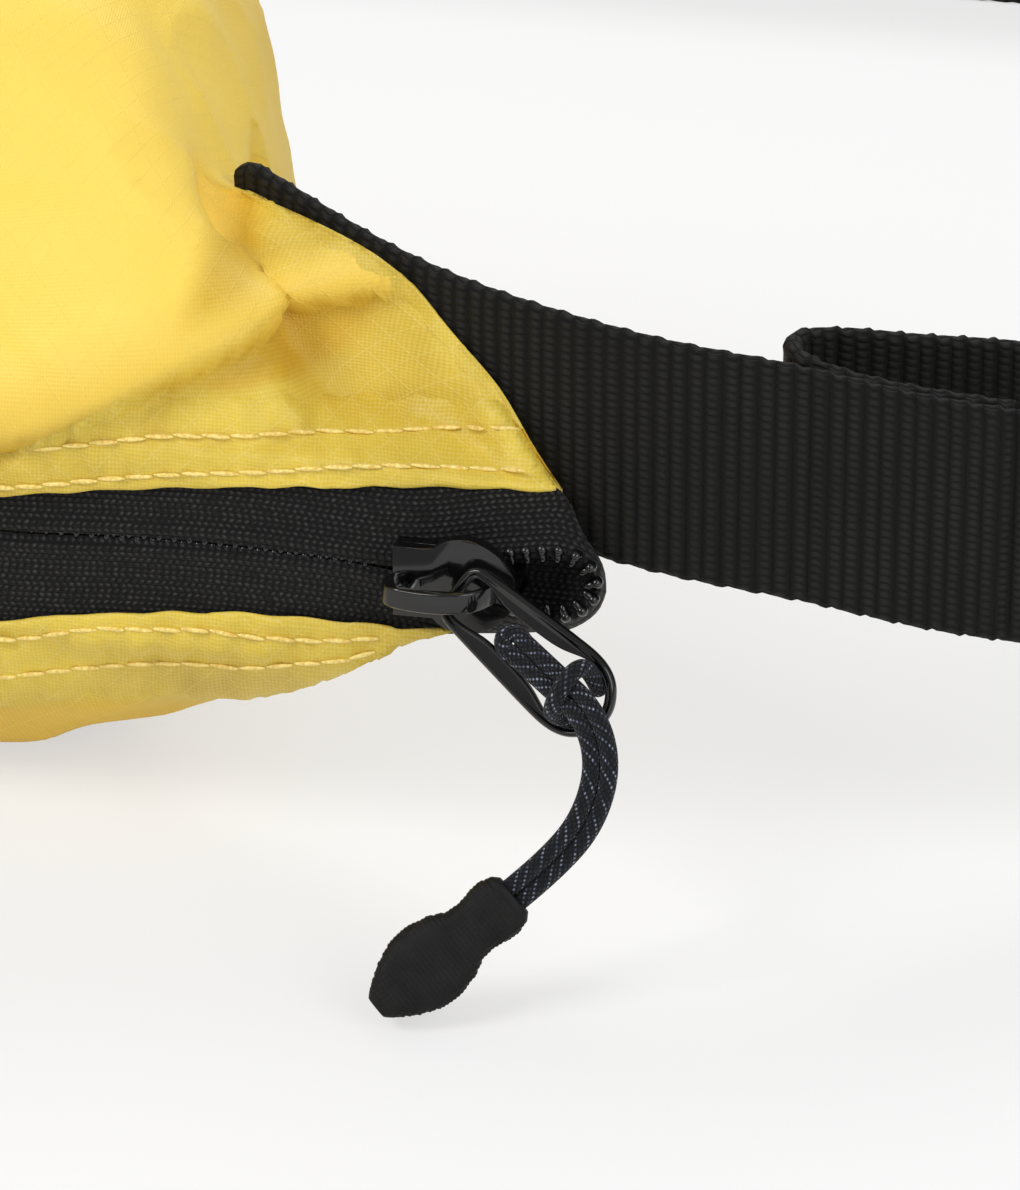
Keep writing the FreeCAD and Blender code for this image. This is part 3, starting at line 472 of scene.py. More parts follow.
def painted_light_share(spots):
    """A painted light share for the cloth's colour: a painted glow on the loose layer above the roll, painted shade
    below the roll's edge and on the sewn end and its panel, a little more glow low down, and a middle level towards
    the back.
    """
    far = np.abs(spots[:, 0])
    above = spots[:, 2] - line_at([(x, z) for x, _, z in ROLL_EDGE], far)
    lit = np.where(above > 0, 0.42 + 0.58 * rise(above, 0, 9), 0.1)
    fin = rise(far, 120.5, 2.5) * rise(above, 3.5, 2.5)
    fin = np.where(spots[:, 1] < 6, fin, 0) * fall(spots[:, 2], 70, 4)
    low = fall(spots[:, 2], 28, 6) * 0.3
    behind = rise(spots[:, 1], -5, 20)
    return np.clip(np.maximum(lit * (1 - fin) + 0.12 * fin, low), 0, 1) * (1 - behind) + 0.6 * behind


def hem_share(spots):
    """Where the hems' width lies on the front, as the main view shows it."""
    seen_x, seen_z, _ = seen_on_face(spots)
    inside = np.minimum(line_at(HEM_UP, seen_x) + HEM_WIDE - seen_z, seen_z - line_at(HEM_DOWN, seen_x) + HEM_WIDE)
    under_roll = fall(seen_z, line_at(ROLL_FRONT, seen_x), 1)
    return np.clip(inside / 0.8 + 0.5, 0, 1) * under_roll * rise(-spots[:, 1], 13, 2)


def sewn_share(spots):
    """Where the cloth lies double or flat against the strap: the hems' width and the sewn end."""
    seen_x, seen_z, _ = seen_on_face(spots)
    hems = hem_share(spots)
    end = np.clip((seen_x - line_at(END_PANEL, seen_z)) / 2.5 + 0.5, 0, 1)
    end *= rise(seen_z, 48, 3)
    over = seen_z - line_at(ROLL_FRONT, seen_x)
    band = rise(over, -1, 1) * fall(over, 4.5, 2)
    corner = rise(over, 3, 2) * rise(seen_x, 128, 3)
    near = rise(-spots[:, 1], 13, 2)
    return near * np.maximum(hems, np.maximum(end * (1 - band), corner))


def relax(bm, verts, times):
    for _ in range(times):
        bmesh.ops.smooth_vert(bm, verts=verts, factor=0.5, use_axis_x=True, use_axis_y=True, use_axis_z=True)


def make_body():
    """The fabric, with its folds, swells and wrinkles, its painted glow and shade, and where it is sewn."""
    mesh = blank_body()
    bm = opened(mesh)
    relax(bm, bm.verts, 4)
    bm.normal_update()
    spots = np.array([v.co for v in bm.verts]) / MM
    normals = np.array([v.normal for v in bm.verts])
    push = fold_push(spots)
    stretched = spots * np.array([0.55, 1, 1.25])
    push += 0.9 * soft_noise(stretched, 17, 3.1) + 0.5 * soft_noise(stretched, 7.5, 8.4)
    creased = 1 - np.abs(soft_noise(spots * np.array([0.5, 1, 1]) + 0.35 * spots[:, [2, 0, 1]], 15, 5.2)) * 2.6
    push += 0.7 * np.clip(creased, 0, 1) ** 3
    level = spots[:, 2] - CHAIN_LEVEL
    in_front = rise(-spots[:, 1], 30, 6)
    near_zip = np.exp(-(np.clip(np.abs(level) - SLOT_HALF, 0, None) / 3.0) ** 2) * in_front
    push *= 1 - near_zip
    for x, y, z, reach, high in SWELLS:
        gap = np.linalg.norm(spots - np.array([x, y, z]), axis=1)
        push += high * np.exp(-(gap / reach) ** 2)
    push *= rise(spots[:, 2], 0, 5)
    push *= 1 - 0.75 * rise(np.abs(spots[:, 0]), 140, 18)
    moved, drawn = trimmed(spots + normals * push[:, None], spots)
    for vert, place in zip(bm.verts, moved):
        vert.co = Vector(place) * MM
    loose = [vert for vert, tight in zip(bm.verts, drawn) if tight]
    relax(bm, loose, 6)
    bm.to_mesh(mesh)
    bm.free()
    # The painted light share, kept off the hems, and the sewn share are stored with the points.
    for name, values in (("painted_light_share", painted_light_share(moved) * (1 - hem_share(moved))), ("sewn", sewn_share(moved))):
        mesh.attributes.new(name, "FLOAT", "POINT").data.foreach_set("value", values.astype(np.float32))
    turn = np.arctan2(spots[:, 2] - 48, -spots[:, 1])
    radius = np.hypot(spots[:, 2] - 48, spots[:, 1])
    at_cap = rise(np.abs(spots[:, 0]), 92, 26)
    along = spots[:, 0] + np.sign(spots[:, 0]) * at_cap * (44 - radius)
    uv_from(mesh, np.column_stack([along, (44 - 10 * at_cap) * turn]) / 10)
    return mesh


# ------------------------------------------------------------ folded edges
# Lines (x, z) as the main view shows them on the front face.
HEM_UP = [(-165, 45.6), (-152, 45), (-144, 44.2), (-134, 43.2), (-120, 41.6), (-111, 40.2), (-102, 38.7), (-88, 38.5),
          (-60, 40.4), (0, 41.3), (60, 40.2), (88, 38.5), (102.4, 38.7), (111.8, 40.3), (120.5, 41.6), (134.4, 43.3),
          (144.4, 44.2), (152.6, 45.0), (158.7, 45.4), (163, 45.6)]
HEM_DOWN = [(-152, 29), (-144, 28.7), (-120, 28), (-60, 28.3), (0, 28.1), (60, 26.4), (88, 24.7), (102, 24.7),
            (108.9, 26.2), (120.3, 27.8), (127.7, 28.4), (134.3, 28.6), (144.4, 28.7), (150.4, 29.2)]
ROWS = [
    [(-160, 47.2), (-144, 46.3), (-120, 43.5), (-60, 42.8), (0, 42.8), (60, 41.6), (88, 39.6), (102.4, 39.5),
     (106.1, 40.1), (111.8, 41.3), (118.4, 42.6), (122.3, 43.2), (127.9, 43.9), (134.4, 45.0), (139, 45.8),
     (146.5, 46.6), (155, 47.1), (158.7, 47.2), (160.4, 46.9)],
    [(-156, 52), (-144, 50.4), (-120, 47.4), (-60, 46.8), (0, 46.8), (60, 45.2), (88, 42.6), (102.5, 42.9),
     (105.4, 43.9), (111.7, 45.3), (120.7, 47.2), (128.0, 47.9), (134.4, 49.1), (141.9, 49.8), (146.5, 50.6),
     (156.6, 51.8)],
    [(-146, 27.2), (-120, 26.2), (-60, 26.6), (0, 26.4), (60, 24.8), (88, 22.6), (101.7, 22.4), (105.5, 23.1),
     (108.7, 24.1), (114.5, 25.1), (120.1, 25.6), (123.9, 26.0), (127.6, 25.8), (133.2, 26.0), (138.3, 26.5),
     (143.5, 27.7)],
    [(-142, 25.2), (-120, 22), (-60, 22.6), (0, 22.4), (60, 20.8), (88, 18.2), (101.6, 18.1), (105.4, 19.0),
     (111.8, 20.5), (117.8, 21.6), (121.2, 22.0), (124.6, 22.2), (127.5, 22.2), (131.7, 23.0), (134.6, 23.6),
     (138.3, 24.3), (141.6, 25.8)],
]
FOLD_SECTION = [
    # inwards from the folded edge, outwards from the cloth below, in millimetres
    (1.6, -0.1), (0.5, -0.05), (0.08, 0.12), (0.0, 0.36), (0.12, 0.6), (0.5, 0.74), (1.0, 0.68),
    (1.6, 0.6), (2.4, 0.74), (3.2, 0.84), (4.0, 0.74), (4.7, 0.56), (5.3, 0.62), (6.2, 0.72),
    (7.4, 0.64), (8.4, 0.46), (9.3, 0.2), (10.0, -0.4),
]
TAPE_FACE = -39.5
TAPE_HALF = 9.6
TAPE_BACK = [(118, 0), (132, 0.8), (145, 1.7), (156, 2.5), (162, 3.0), (166, 3.4)]


def tape_y(x, share):
    """Depth of the tape's face, a share of the way from the chain to its outer edge."""
    return TAPE_FACE + line_at(TAPE_BACK, abs(x)) * share * share


def sight_hit(tree, x, z, step=(0, 0)):
    """Where the main view's line through (x, z) of the front face meets the cloth, with its normal."""
    for go in range(5):
        px, pz = x + step[0] * go, z + step[1] * go
        start = set_back(px, pz, -90)
        spot, normal, _, _ = tree.ray_cast(start * MM, (set_back(px, pz, 0) - start).normalized())
        if spot is not None and spot.y / MM < 5:
            return spot.y / MM, normal
    return -30.0, Vector((0, -1, 0))


def folded_strip(name, edge, inwards, tree, section, pucker, bound, on_tape=True):
    """Cloth folded under along an edge line and sewn down, laid over the body and the tape's edge."""
    rows, pairs = [], []
    run = 0
    for i, ((x, z), (nx, nz)) in enumerate(zip(edge, inwards)):
        if i:
            run += math.dist(edge[i - 1], edge[i])
        row = []
        for deep, proud in section:
            sx, sz, over = bound(x + nx * deep, z + nz * deep)
            y, normal = sight_hit(tree, sx, sz, (nx * 0.8, nz * 0.8))
            out = abs(sz - CHAIN_LEVEL)
            if on_tape:
                share = min(out / TAPE_HALF, 1)
                y = min(y, tape_y(sx, share) - 0.25 + max(0, out - TAPE_HALF - 1.4) * 1.25)
            else:
                for turn in range(2):
                    y = min(y, float(run_y(set_back(sx, sz, y).x)) - 1.6)
            lift = (proud + pucker(run, deep)) * (1 - over) - 0.5 * over
            outwards = (normal + Vector((0, -1.2, 0))).normalized()
            row.append(set_back(sx, sz, y) + outwards * lift)
            pairs.append((sx / 10, sz / 10))
        rows.append(row)
    return skin(name, rows, pairs, solid=False)


def hem_pucker(run, deep):
    """Small gathers that lean along the seam and lie flat at the stitches."""
    wave = math.sin(run * 1.2 + deep * 0.55 + 1.5 * math.sin(run * 0.23))
    small = math.sin(run * 2.5 - deep * 0.9 + 2 * math.sin(run * 0.31))
    flat = math.exp(-((deep - 1.6) / 0.6) ** 2) + math.exp(-((deep - 5.3) / 0.6) ** 2)
    return (0.3 * wave + 0.1 * small) * max(0.1, 1 - flat) * min(1, deep / 1.2 + 0.2)


def hem_bound(side):
    """Keeps a hem inside the end seams and above the line where the cloth turns under."""
    def bound(x, z):
        limit = line_at(SEAM_FRONT, max(z, 46)) - 0.5
        over = rise(abs(x), limit, 0.8)
        x = max(min(x, limit), -limit)
        if side > 0:
            over = max(over, rise(z - line_at(ROLL_FRONT, abs(x)), -0.5, 0.5))
        else:
            low = line_at(UNDER_FRONT, abs(x)) - 0.25
            over = max(over, fall(z, low, 0.8))
            z = max(z, low)
        return x, z, over
    return bound


def hem(name, side, tree):
    line = HEM_UP if side > 0 else HEM_DOWN
    reach = 162.4 if side > 0 else 150.2
    edge = [(x, line_at(line, x) + 0.1 * math.sin(x * 0.9)) for x in np.arange(-reach, reach + 0.1, 0.6)]
    return folded_strip(name, edge, [(0, side)] * len(edge), tree, FOLD_SECTION, hem_pucker, hem_bound(side))


WELT_SECTION = [(1.0, -0.6), (0.25, -0.45), (0.0, -0.2), (0.0, 0.0), (0.1, 0.14), (0.4, 0.2), (0.9, 0.16),
                (1.5, 0.06), (2.1, -0.08), (2.7, -0.3)]


def welt(name, side, tree):
    """The folded edge of the front panel, over the strap at one end."""
    points, _ = smooth_run([(x, 0, z) for z, x in SEAM_FRONT[:8]], 0.5)
    edge = [(side * p[0], p[2]) for p in points]
    inwards = []
    for i, place in enumerate(edge):
        before, after = edge[max(i - 1, 0)], edge[min(i + 1, len(edge) - 1)]
        run = Vector((after[0] - before[0], after[1] - before[1])).normalized()
        size = min(1, 0.25 + i * 0.06, 0.25 + (len(edge) - 1 - i) * 0.12)
        inwards.append((-abs(run.y) * side * size, -abs(run.x) * size))

    def pucker(run, deep):
        return 0.08 * math.sin(run * 1.3 + deep) * min(1, deep / 1.5)
    return folded_strip(name, edge, inwards, tree, WELT_SECTION, pucker, lambda x, z: (x, z, 0), on_tape=False)


# ------------------------------------------------------------ straps
BUCKLE = (264, 92, 17)
BAR_Y = BUCKLE[1] - 32.6
WRAP_SIDE = 2.9
WRAP_DEEP = 2.7
WRAP = [
    (BUCKLE[0] + WRAP_SIDE, BAR_Y - 1.0, 17), (BUCKLE[0] + WRAP_SIDE * 0.85, BAR_Y + WRAP_DEEP * 0.8, 17),
    (BUCKLE[0], BAR_Y + WRAP_DEEP + 0.3, 17), (BUCKLE[0] - WRAP_SIDE * 0.85, BAR_Y + WRAP_DEEP * 0.8, 17),
    (BUCKLE[0] - WRAP_SIDE, BAR_Y - 1.0, 17),
]
RETURN_RUN = [
    (257.6, 50, 17.6), (250.5, 37, 20.6), (238, 18, 26.5), (222, 0.5, 34.5), (211, -7.5, 39),
    (201, -13.5, 42.2), (190.5, -20.5, 45), (184.2, -24.2, 46.3), (181.6, -27, 46.6),
    (182.3, -30.2, 46.4), (186.2, -31.6, 45.6), (194, -29.4, 43.4), (203.5, -25.2, 40.8),
]
LOOP_Y = BUCKLE[1] + 11
LOOP_OUT = 4.0
LOOP_DEEP = 3.1
STRAND = 1.0
TAIL_RUN = [
    (BUCKLE[0] + STRAND, BUCKLE[1] + 78, 17), (BUCKLE[0] + STRAND, BUCKLE[1] + 58, 17),
    (BUCKLE[0] + STRAND, BUCKLE[1] + 44, 17), (BUCKLE[0] + LOOP_OUT, BUCKLE[1] + 24, 17),
    (BUCKLE[0] + LOOP_OUT, LOOP_Y, 17),
]
LOOP_RUN = [
    (BUCKLE[0] + LOOP_OUT * 0.97, LOOP_Y - LOOP_DEEP * 0.8, 17), (BUCKLE[0], LOOP_Y - LOOP_DEEP, 17),
    (BUCKLE[0] - LOOP_OUT * 0.97, LOOP_Y - LOOP_DEEP * 0.8, 17),
]
MAIN_RUN = [
    (BUCKLE[0] - LOOP_OUT, LOOP_Y, 17), (BUCKLE[0] - LOOP_OUT, BUCKLE[1] + 24, 17),
    (BUCKLE[0] - STRAND, BUCKLE[1] + 44, 17), (BUCKLE[0] - STRAND, BUCKLE[1] + 58, 17),
    (BUCKLE[0] - STRAND, BUCKLE[1] + 78, 17),
]
STRAP_REST = 12.6
BACK_RUN = [
    (261.5, 190, 16.4), (255, 212, 14.6), (240, 230, 13.2), (210, 239.5, STRAP_REST),
    (140, 242, STRAP_REST), (0, 243, STRAP_REST), (-140, 242, STRAP_REST),
    (-210, 238.5, STRAP_REST), (-241, 226, STRAP_REST + 0.1), (-257, 202, STRAP_REST + 0.3),
    (-263, 165, 13.4), (-264, 120, 15), (-260, 75, 18.4), (-250, 37, 23.8), (-231, 3, 31.5),
]
LEFT_RUN = [(-x, y, z) for x, y, z in reversed(RIGHT_RUN[:9])]

WEB_HALF = 12.5
WEB_THICK = 0.9
RIB_PAIR = 3.5
KNOT_WIDE = 1.2
SEWN_AT = (185.2, 203.5)


def strap_profile(across):
    """The strap's cut section, once round: (side, level) in millimetres."""
    face = [(WEB_THICK, level) for level in np.linspace(-WEB_HALF + 0.7, WEB_HALF - 0.7, across)]
    top = [(WEB_THICK * 0.75, WEB_HALF - 0.25), (0, WEB_HALF), (-WEB_THICK * 0.75, WEB_HALF - 0.25)]
    back = [(-side, level) for side, level in reversed(face)]
    low = [(-WEB_THICK * 0.75, -WEB_HALF + 0.25), (0, -WEB_HALF), (WEB_THICK * 0.75, -WEB_HALF + 0.25)]
    return face + top + back + low + face[:1]


def strap(name, points, step, across):
    """Flat webbing on edge along a run, with its ribs, knotted edges and the grooves its seams draw in."""
    places, along = smooth_run(points, step)
    profile = strap_profile(across)
    headings = np.gradient(places, axis=0)
    girth = [0.0]
    for one, two in zip(profile, profile[1:]):
        girth.append(girth[-1] + math.dist(one, two))
    rows, pairs = [], []
    for place, heading, run in zip(places, headings, along):
        heading = Vector((heading[0], heading[1], 0)).normalized()
        out = Vector((-heading.y, heading.x, 0))
        turn = 2 * math.pi * run / RIB_PAIR
        rib = abs(math.sin(turn / 2)) ** 0.7
        second = 0.55 + 0.45 * (math.cos(turn) < 0)
        drop = 1.5 * (1 - min(1, run / 2.2) ** 0.5)
        groove = sum(math.exp(-((place[0] - x) / 0.4) ** 2) for x in SEWN_AT) * (place[1] < 0)
        grow = 1 + 0.07 * rib * second - 0.5 * groove
        wander = 0.15 * math.sin(run * 0.045 + 1.1) + 0.07 * math.sin(run * 0.21)
        row = []
        for (side, level), round_it in zip(profile, girth):
            edge = max(0, abs(level) - (WEB_HALF - KNOT_WIDE)) / KNOT_WIDE
            knots = edge * (0.27 * math.cos(turn) + 0.1 * math.cos(turn * 2))
            swell = 1 + edge * 0.25 * math.cos(turn + 0.8)
            spot = Vector(place) + out * side * grow * swell
            spot.z += level + math.copysign(knots, level) + wander - drop * (level > 9)
            row.append(spot)
            pairs.append((run / 10, round_it / 10))
        rows.append(row)
    return skin(name, rows, pairs)


# ------------------------------------------------------------ stitches
STITCH_PITCH = 3.0
THREAD_LONG = 3.1
THREAD_THICK = 0.52
LEAN = math.radians(-5)


def stitch_row(bm, spots, normals):
    """Threads that dive in and out of the cloth along a row of places."""
    for i, spot in enumerate(spots[:-1]):
        run = Vector(spots[i + 1]) - Vector(spot)
        normal = Vector(normals[i])
        heading = Matrix.Rotation(LEAN, 3, normal) @ run.normalized()
        side = heading.cross(normal).normalized()
        normal = side.cross(heading)
        middle = Vector(spot) + run * 0.5 + normal * THREAD_THICK * 0.18
        turn = Matrix((heading, side, normal)).transposed().to_4x4()
        size = Matrix.Diagonal((THREAD_LONG / 2, THREAD_THICK / 2, THREAD_THICK * 0.42, 1))
        bmesh.ops.create_uvsphere(
            bm, u_segments=8, v_segments=6, radius=MM,
            matrix=Matrix.Translation(middle * MM) @ turn @ size @ Matrix.Rotation(math.pi / 2, 4, "Y"))


def rows_on(tree, lines, pitch):
    """Places and outward directions at an even pitch along (x, z) lines of the front face."""
    rows = []
    for line in lines:
        even, _ = smooth_run([(x, 0, z) for x, z in line], pitch / 2)
        even = [(x, z) for x, _, z in even if z <= line_at(ROLL_FRONT, abs(x)) - 0.3]
        hits = [sight_hit(tree, x, z) for x, z in even]
        spots, normals = [], []
        for i in range(0, len(even), 2):
            bumps = [hits[k][0] - (hits[k - 1][0] + hits[k + 1][0]) / 2
                     for k in (i - 1, i + 1) if 0 < k < len(even) - 1]
            spots.append(set_back(*even[i], hits[i][0] + max(min([0, *bumps]), -1.0)))
            normals.append(hits[i][1])
        rows.append((spots, normals))
    return rows


def tree_of(*meshes):
    bm = opened(*meshes)
    tree = BVHTree.FromBMesh(bm)
    bm.free()
    return tree


# ------------------------------------------------------------ zipper
TAPE_UP = [
    # inner edge x, z then outer edge x, z as the main view shows them
    (-163, 35.06, -163, 44.6), (-120, 35.06, -120, 43.2), (-102, 35.06, -102, 40.8), (-90, 35.06, -90, 39.7),
    (-78, 35.06, -78, 40.6), (-60, 35.06, -60, 42), (0, 35.06, 0, 43.2), (60, 35.06, 60, 42), (78, 34.9, 78, 40.6),
    (90, 34.6, 90, 39.7), (102, 34.3, 102, 40.8), (112, 34.9, 112, 42.8), (121, 35.5, 121, 43.6),
    (131, 35.7, 131, 44.2), (141, 35.3, 141, 45.0), (146, 35.4, 146, 45.3), (150, 36.1, 150, 45.7),
    (154, 37.1, 154.4, 46.0), (156.5, 37.6, 157.3, 46.2), (158.2, 37.95, 159.2, 46.2), (159.8, 38.2, 160.8, 45.5),
    (161.4, 38.0, 162.1, 43.6), (162.6, 37.5, 163.2, 41.0), (163.5, 36.6, 164.8, 38.6),
    (163.95, 35.7, 165.4, 36.8), (164.05, 35.0, 165.5, 35.0),
]
TAPE_DOWN = [
    (-163, 34.94, -163, 26.4), (-100, 34.94, -100, 26.4), (0, 34.94, 0, 26.2), (60, 34.94, 60, 24.8),
    (90, 34.5, 90, 23.2), (102, 34.2, 102, 23.4), (112, 34.8, 112, 25.0), (121, 35.4, 121, 26.2),
    (131, 35.6, 131, 26.8), (141, 35.2, 141, 27.4), (146, 34.6, 146, 28.1),
    (150, 33.9, 150, 28.6), (153, 33.0, 153, 29.0), (156, 32.35, 156.3, 29.4), (158.5, 32.05, 158.9, 29.8),
    (160.2, 32.0, 160.9, 30.1), (161.5, 32.2, 162.3, 30.7), (162.7, 33.0, 163.9, 31.9), (163.6, 34.1, 165, 33.4),
    (164.0, 35.0, 165.5, 35.0),
]
MOUTH_UP = [(146, 35.5), (150, 36.3), (154, 37.3), (156.5, 37.8), (158.2, 38.15), (159.8, 38.4), (161.4, 38.2),
            (162.65, 37.7), (163.6, 36.7), (164.0, 35.5)]
MOUTH_DOWN = [(146, 34.5), (150, 33.7), (153, 32.8), (156, 32.15), (158.5, 31.85), (160.2, 31.9), (161.5, 32.15),
              (162.8, 32.95), (163.75, 34.1)]


def tape_spot(x, z, share, proud=0.0):
    """A place on the tape: straight along the bag, and as the main view shows it towards the ends."""
    y = tape_y(x, share) - proud
    return Vector((x, y, z)).lerp(set_back(x, z, y), rise(abs(x), 112, 20))


def mouth_lining():
    """The dark pocket of tape behind the open end of the chain."""
    rows, pairs = [], []
    for x in np.linspace(143, 164.3, 36):
        up, low = line_at(MOUTH_UP, x) + 0.8, line_at(MOUTH_DOWN, x) - 0.8
        row = []
        for share in np.linspace(0, 1, 15):
            z = low + (up - low) * share
            y = BEHIND_TAPE + 2.6 * math.sin(math.pi * share) ** 0.6 * min(1, (164.3 - x) / 3)
            row.append(set_back(x, z, y))
            pairs.append((x / 10, z / 10))
        rows.append(row)
    return skin("lining", rows, pairs, solid=False)


def zip_tape(name, side):
    """A knitted tape, thicker at its inner edge and lightly ridged along its length."""
    run, _ = smooth_run(TAPE_UP if side > 0 else TAPE_DOWN, 1.1)
    shares = [0, 0.03, 0.07, 0.12, 0.18, 0.26, 0.36, 0.48, 0.6, 0.72, 0.86, 1]
    rows, pairs = [], []
    for ix, iz, ox, oz in run:
        wide = math.hypot(ox - ix, oz - iz)
        row = []
        for share in shares:
            deep = wide * share
            x, z = ix + (ox - ix) * share, iz + (oz - iz) * share
            bead = 0.4 * math.exp(-((deep - 1.1) / 0.8) ** 2)
            dip = 0.6 * math.exp(-(deep / 0.4) ** 2)
            roll = 0.22 * math.exp(-((deep - wide * 0.55) / 1.6) ** 2) * math.sin(x * 0.21 + side)
            row.append(tape_spot(x, z, share, bead - dip + roll))
            pairs.append((x / 10, deep / 10))
        rows.append(row)
    mesh = with_modifier(skin(name, rows, pairs, solid=False), "SOLIDIFY", thickness=0.7 * MM, offset=-1)
    return joined(name, mesh, mouth_lining()) if side < 0 else mesh


TURN_PITCH = 1.6
CLOSED_FROM, CLOSED_TO = -160, 143


def coil_turns(name, side):
    """The coil's separate turns: close in the chain, open round the mouth."""
    bm = bmesh.new()
    line = MOUTH_UP if side > 0 else MOUTH_DOWN
    run, _ = smooth_run([(x, 0, z) for x, z in line], TURN_PITCH)
    for i, (x, _, z) in enumerate(run):
        ahead = heading_at(run, i)
        heading = Vector((ahead[0], 0, ahead[2])).normalized()
        inwards = heading.cross(Vector((0, 1, 0))) * side
        turn = Matrix((heading, Vector((0, 1, 0)), inwards)).transposed().to_4x4()
        for reach, y, size in ((-0.25, -39.6, (0.42, 0.55, 0.75)), (0.45, -39.5, (0.62, 0.8, 0.62))):
            spot = (Vector((x, y, z)) + inwards * reach) * MM
            bmesh.ops.create_uvsphere(
                bm, u_segments=14, v_segments=10, radius=MM,
                matrix=Matrix.Translation(spot) @ turn @ Matrix.Diagonal((*size, 1)))
    for step in range(int((CLOSED_TO - CLOSED_FROM) / TURN_PITCH)):
        spot = millimetres(CLOSED_FROM + step * TURN_PITCH + side * 0.4, -38.5, CHAIN_LEVEL + side * 0.25)
        bmesh.ops.create_uvsphere(
            bm, u_segments=6, v_segments=4, radius=MM,
            matrix=Matrix.Translation(spot) @ Matrix.Diagonal((0.5, 0.9, 0.75, 1)))
    return mesh_of(bm, name)


# ------------------------------------------------------------ pull ring
RING_ACROSS = Vector((0.56, 0.22, 0.80)).normalized()
RING_ALONG = Vector((0.797, -0.281, -0.534))
RING_ALONG = (RING_ALONG - RING_ACROSS * RING_ALONG.dot(RING_ACROSS)).normalized()
RING_FACE = RING_ALONG.cross(RING_ACROSS)
RING_BAR = Vector((150.5 + 0.9, NEAR_FACE - 4.3, CHAIN_LEVEL + 0.6))


def ring_centre_line():
    """The middle of the ring's rail, once round, in the ring's own plane."""
    half = [(0.0, 0.0), (0.0, 1.4), (0.05, 2.0), (0.45, 2.65), (1.2, 2.95), (2.4, 3.1), (5, 3.35), (8, 3.62),
            (11, 3.88), (13.2, 4.05), (15, 4.1), (16.6, 3.85), (17.9, 3.2), (18.8, 2.2), (19.35, 1.1),
            (19.5, 0)]
    ring = [(x, y, 0) for x, y in half] + [(x, -y, 0) for x, y in reversed(half[1:-1])]
    run, _ = smooth_run(ring[-4:] + ring + ring[:4], 0.3)
    first = next(i for i, p in enumerate(run) if i > 5 and abs(p[1]) < 0.16 and p[0] < 1)
    last = next(i for i, p in enumerate(run) if i > first + 40 and p[0] < 1 and p[1] > -0.16)
    return [Vector((p[0], p[1], 0)) for p in run[first:last]]


def ring_mesh(name):
    """A flat stirrup with a beaded rim and recessed faces on its rails."""
    line = ring_centre_line()
    line = line + line[:1]
    rows, pairs = [], []
    for i, spot in enumerate(line):
        heading = (line[i + 1 if i + 1 < len(line) else 1] - line[i - 1 if i else -2]).normalized()
        out = Vector((heading.y, -heading.x, 0))
        if out.dot(spot - Vector((9, 0, 0))) < 0:
            out = -out
        on_rail = math.exp(-((spot.x - 8.5) / 5.2) ** 4)
        inner = -0.55 - 1.05 * on_rail
        section = [(0.6, 0.0), (0.5, 0.42), (0.2, 0.66), (-0.05, 0.6), (-0.2, 0.4), (inner * 0.5 - 0.1, 0.36),
                   (inner + 0.3, 0.4), (inner + 0.1, 0.46), (inner, 0.3), (inner, 0)]
        section += [(wide, -high) for wide, high in reversed(section[1:-1])] + section[:1]
        rows.append([ring_spot(*(spot + out * wide)[:2], high) for wide, high in section])
        pairs += [(i / 10, k / 10) for k in range(len(section))]
    return with_modifier(skin(name, rows, pairs), "SUBSURF", levels=1, render_levels=1)


def ring_spot(along, across, face=0.0):
    return RING_BAR + RING_ALONG * along + RING_ACROSS * across + RING_FACE * face


# ------------------------------------------------------------ draw cord
CORD_ROUTE = [
    (157.9, -47.2, 31.6), (162.3, -49.9, 29.6), (167.0, -53.7, 28.3), (169.3, -57.0, 24.6),
    (168.4, -59.4, 19.6), (165.4, -61.6, 15.6), (161.9, -63.6, 12.6),
]
STRAND_DIA = 1.8


def cord_line():
    """The route's own spline, as places in metres."""
    curve = bpy.data.curves.new("route", "CURVE")
    curve.dimensions = "3D"
    curve.resolution_u = 24
    spline = curve.splines.new("NURBS")
    spline.points.add(len(CORD_ROUTE) - 1)
    for point, place in zip(spline.points, CORD_ROUTE):
        point.co = (*millimetres(*place), 1)
    spline.order_u = 3
    spline.use_endpoint_u = True
    mesh = baked(placed("route", curve))
    line = [v.co.copy() for v in mesh.vertices]
    bpy.data.meshes.remove(mesh)
    return line


def round_tube(name, line, radius, sides=16):
    """A round tube through places in millimetres, with a frame that doesn't twist."""
    side = Vector((0.3, 0.5, 0.8))
    run = 0
    rows, pairs = [], []
    for i, spot in enumerate(line):
        if i:
            run += (spot - line[i - 1]).length
        heading = heading_at(line, i).normalized()
        side = (side - heading * side.dot(heading)).normalized()
        other = heading.cross(side)
        angles = [2 * math.pi * k / sides for k in range(sides)]
        row = [spot + (side * math.cos(a) + other * math.sin(a)) * radius for a in angles]
        rows.append(row + row[:1])
        pairs += [(run / 10, a * radius / 10) for a in angles + [2 * math.pi]]
    return skin(name, rows, pairs)


VIEW_FROM = Vector((0.219, -0.879, 0.423))


def strand_line(line, sign):
    """One strand's middle, beside the route and lightly turned round it."""
    path = []
    for i, spot in enumerate(line):
        share = i / (len(line) - 1)
        heading = heading_at(line, i).normalized()
        flat = heading.cross(VIEW_FROM).normalized()
        other = heading.cross(flat)
        angle = 0.3 * math.sin(5 * share)
        path.append(spot / MM + (flat * math.cos(angle) + other * math.sin(angle)) * sign * STRAND_DIA * 0.49)
    return path


def strands_mesh(name, line):
    """The two strands of the cord, side by side."""
    return joined(name, *(round_tube("strand", strand_line(line, sign), STRAND_DIA / 2) for sign in (1, -1)))


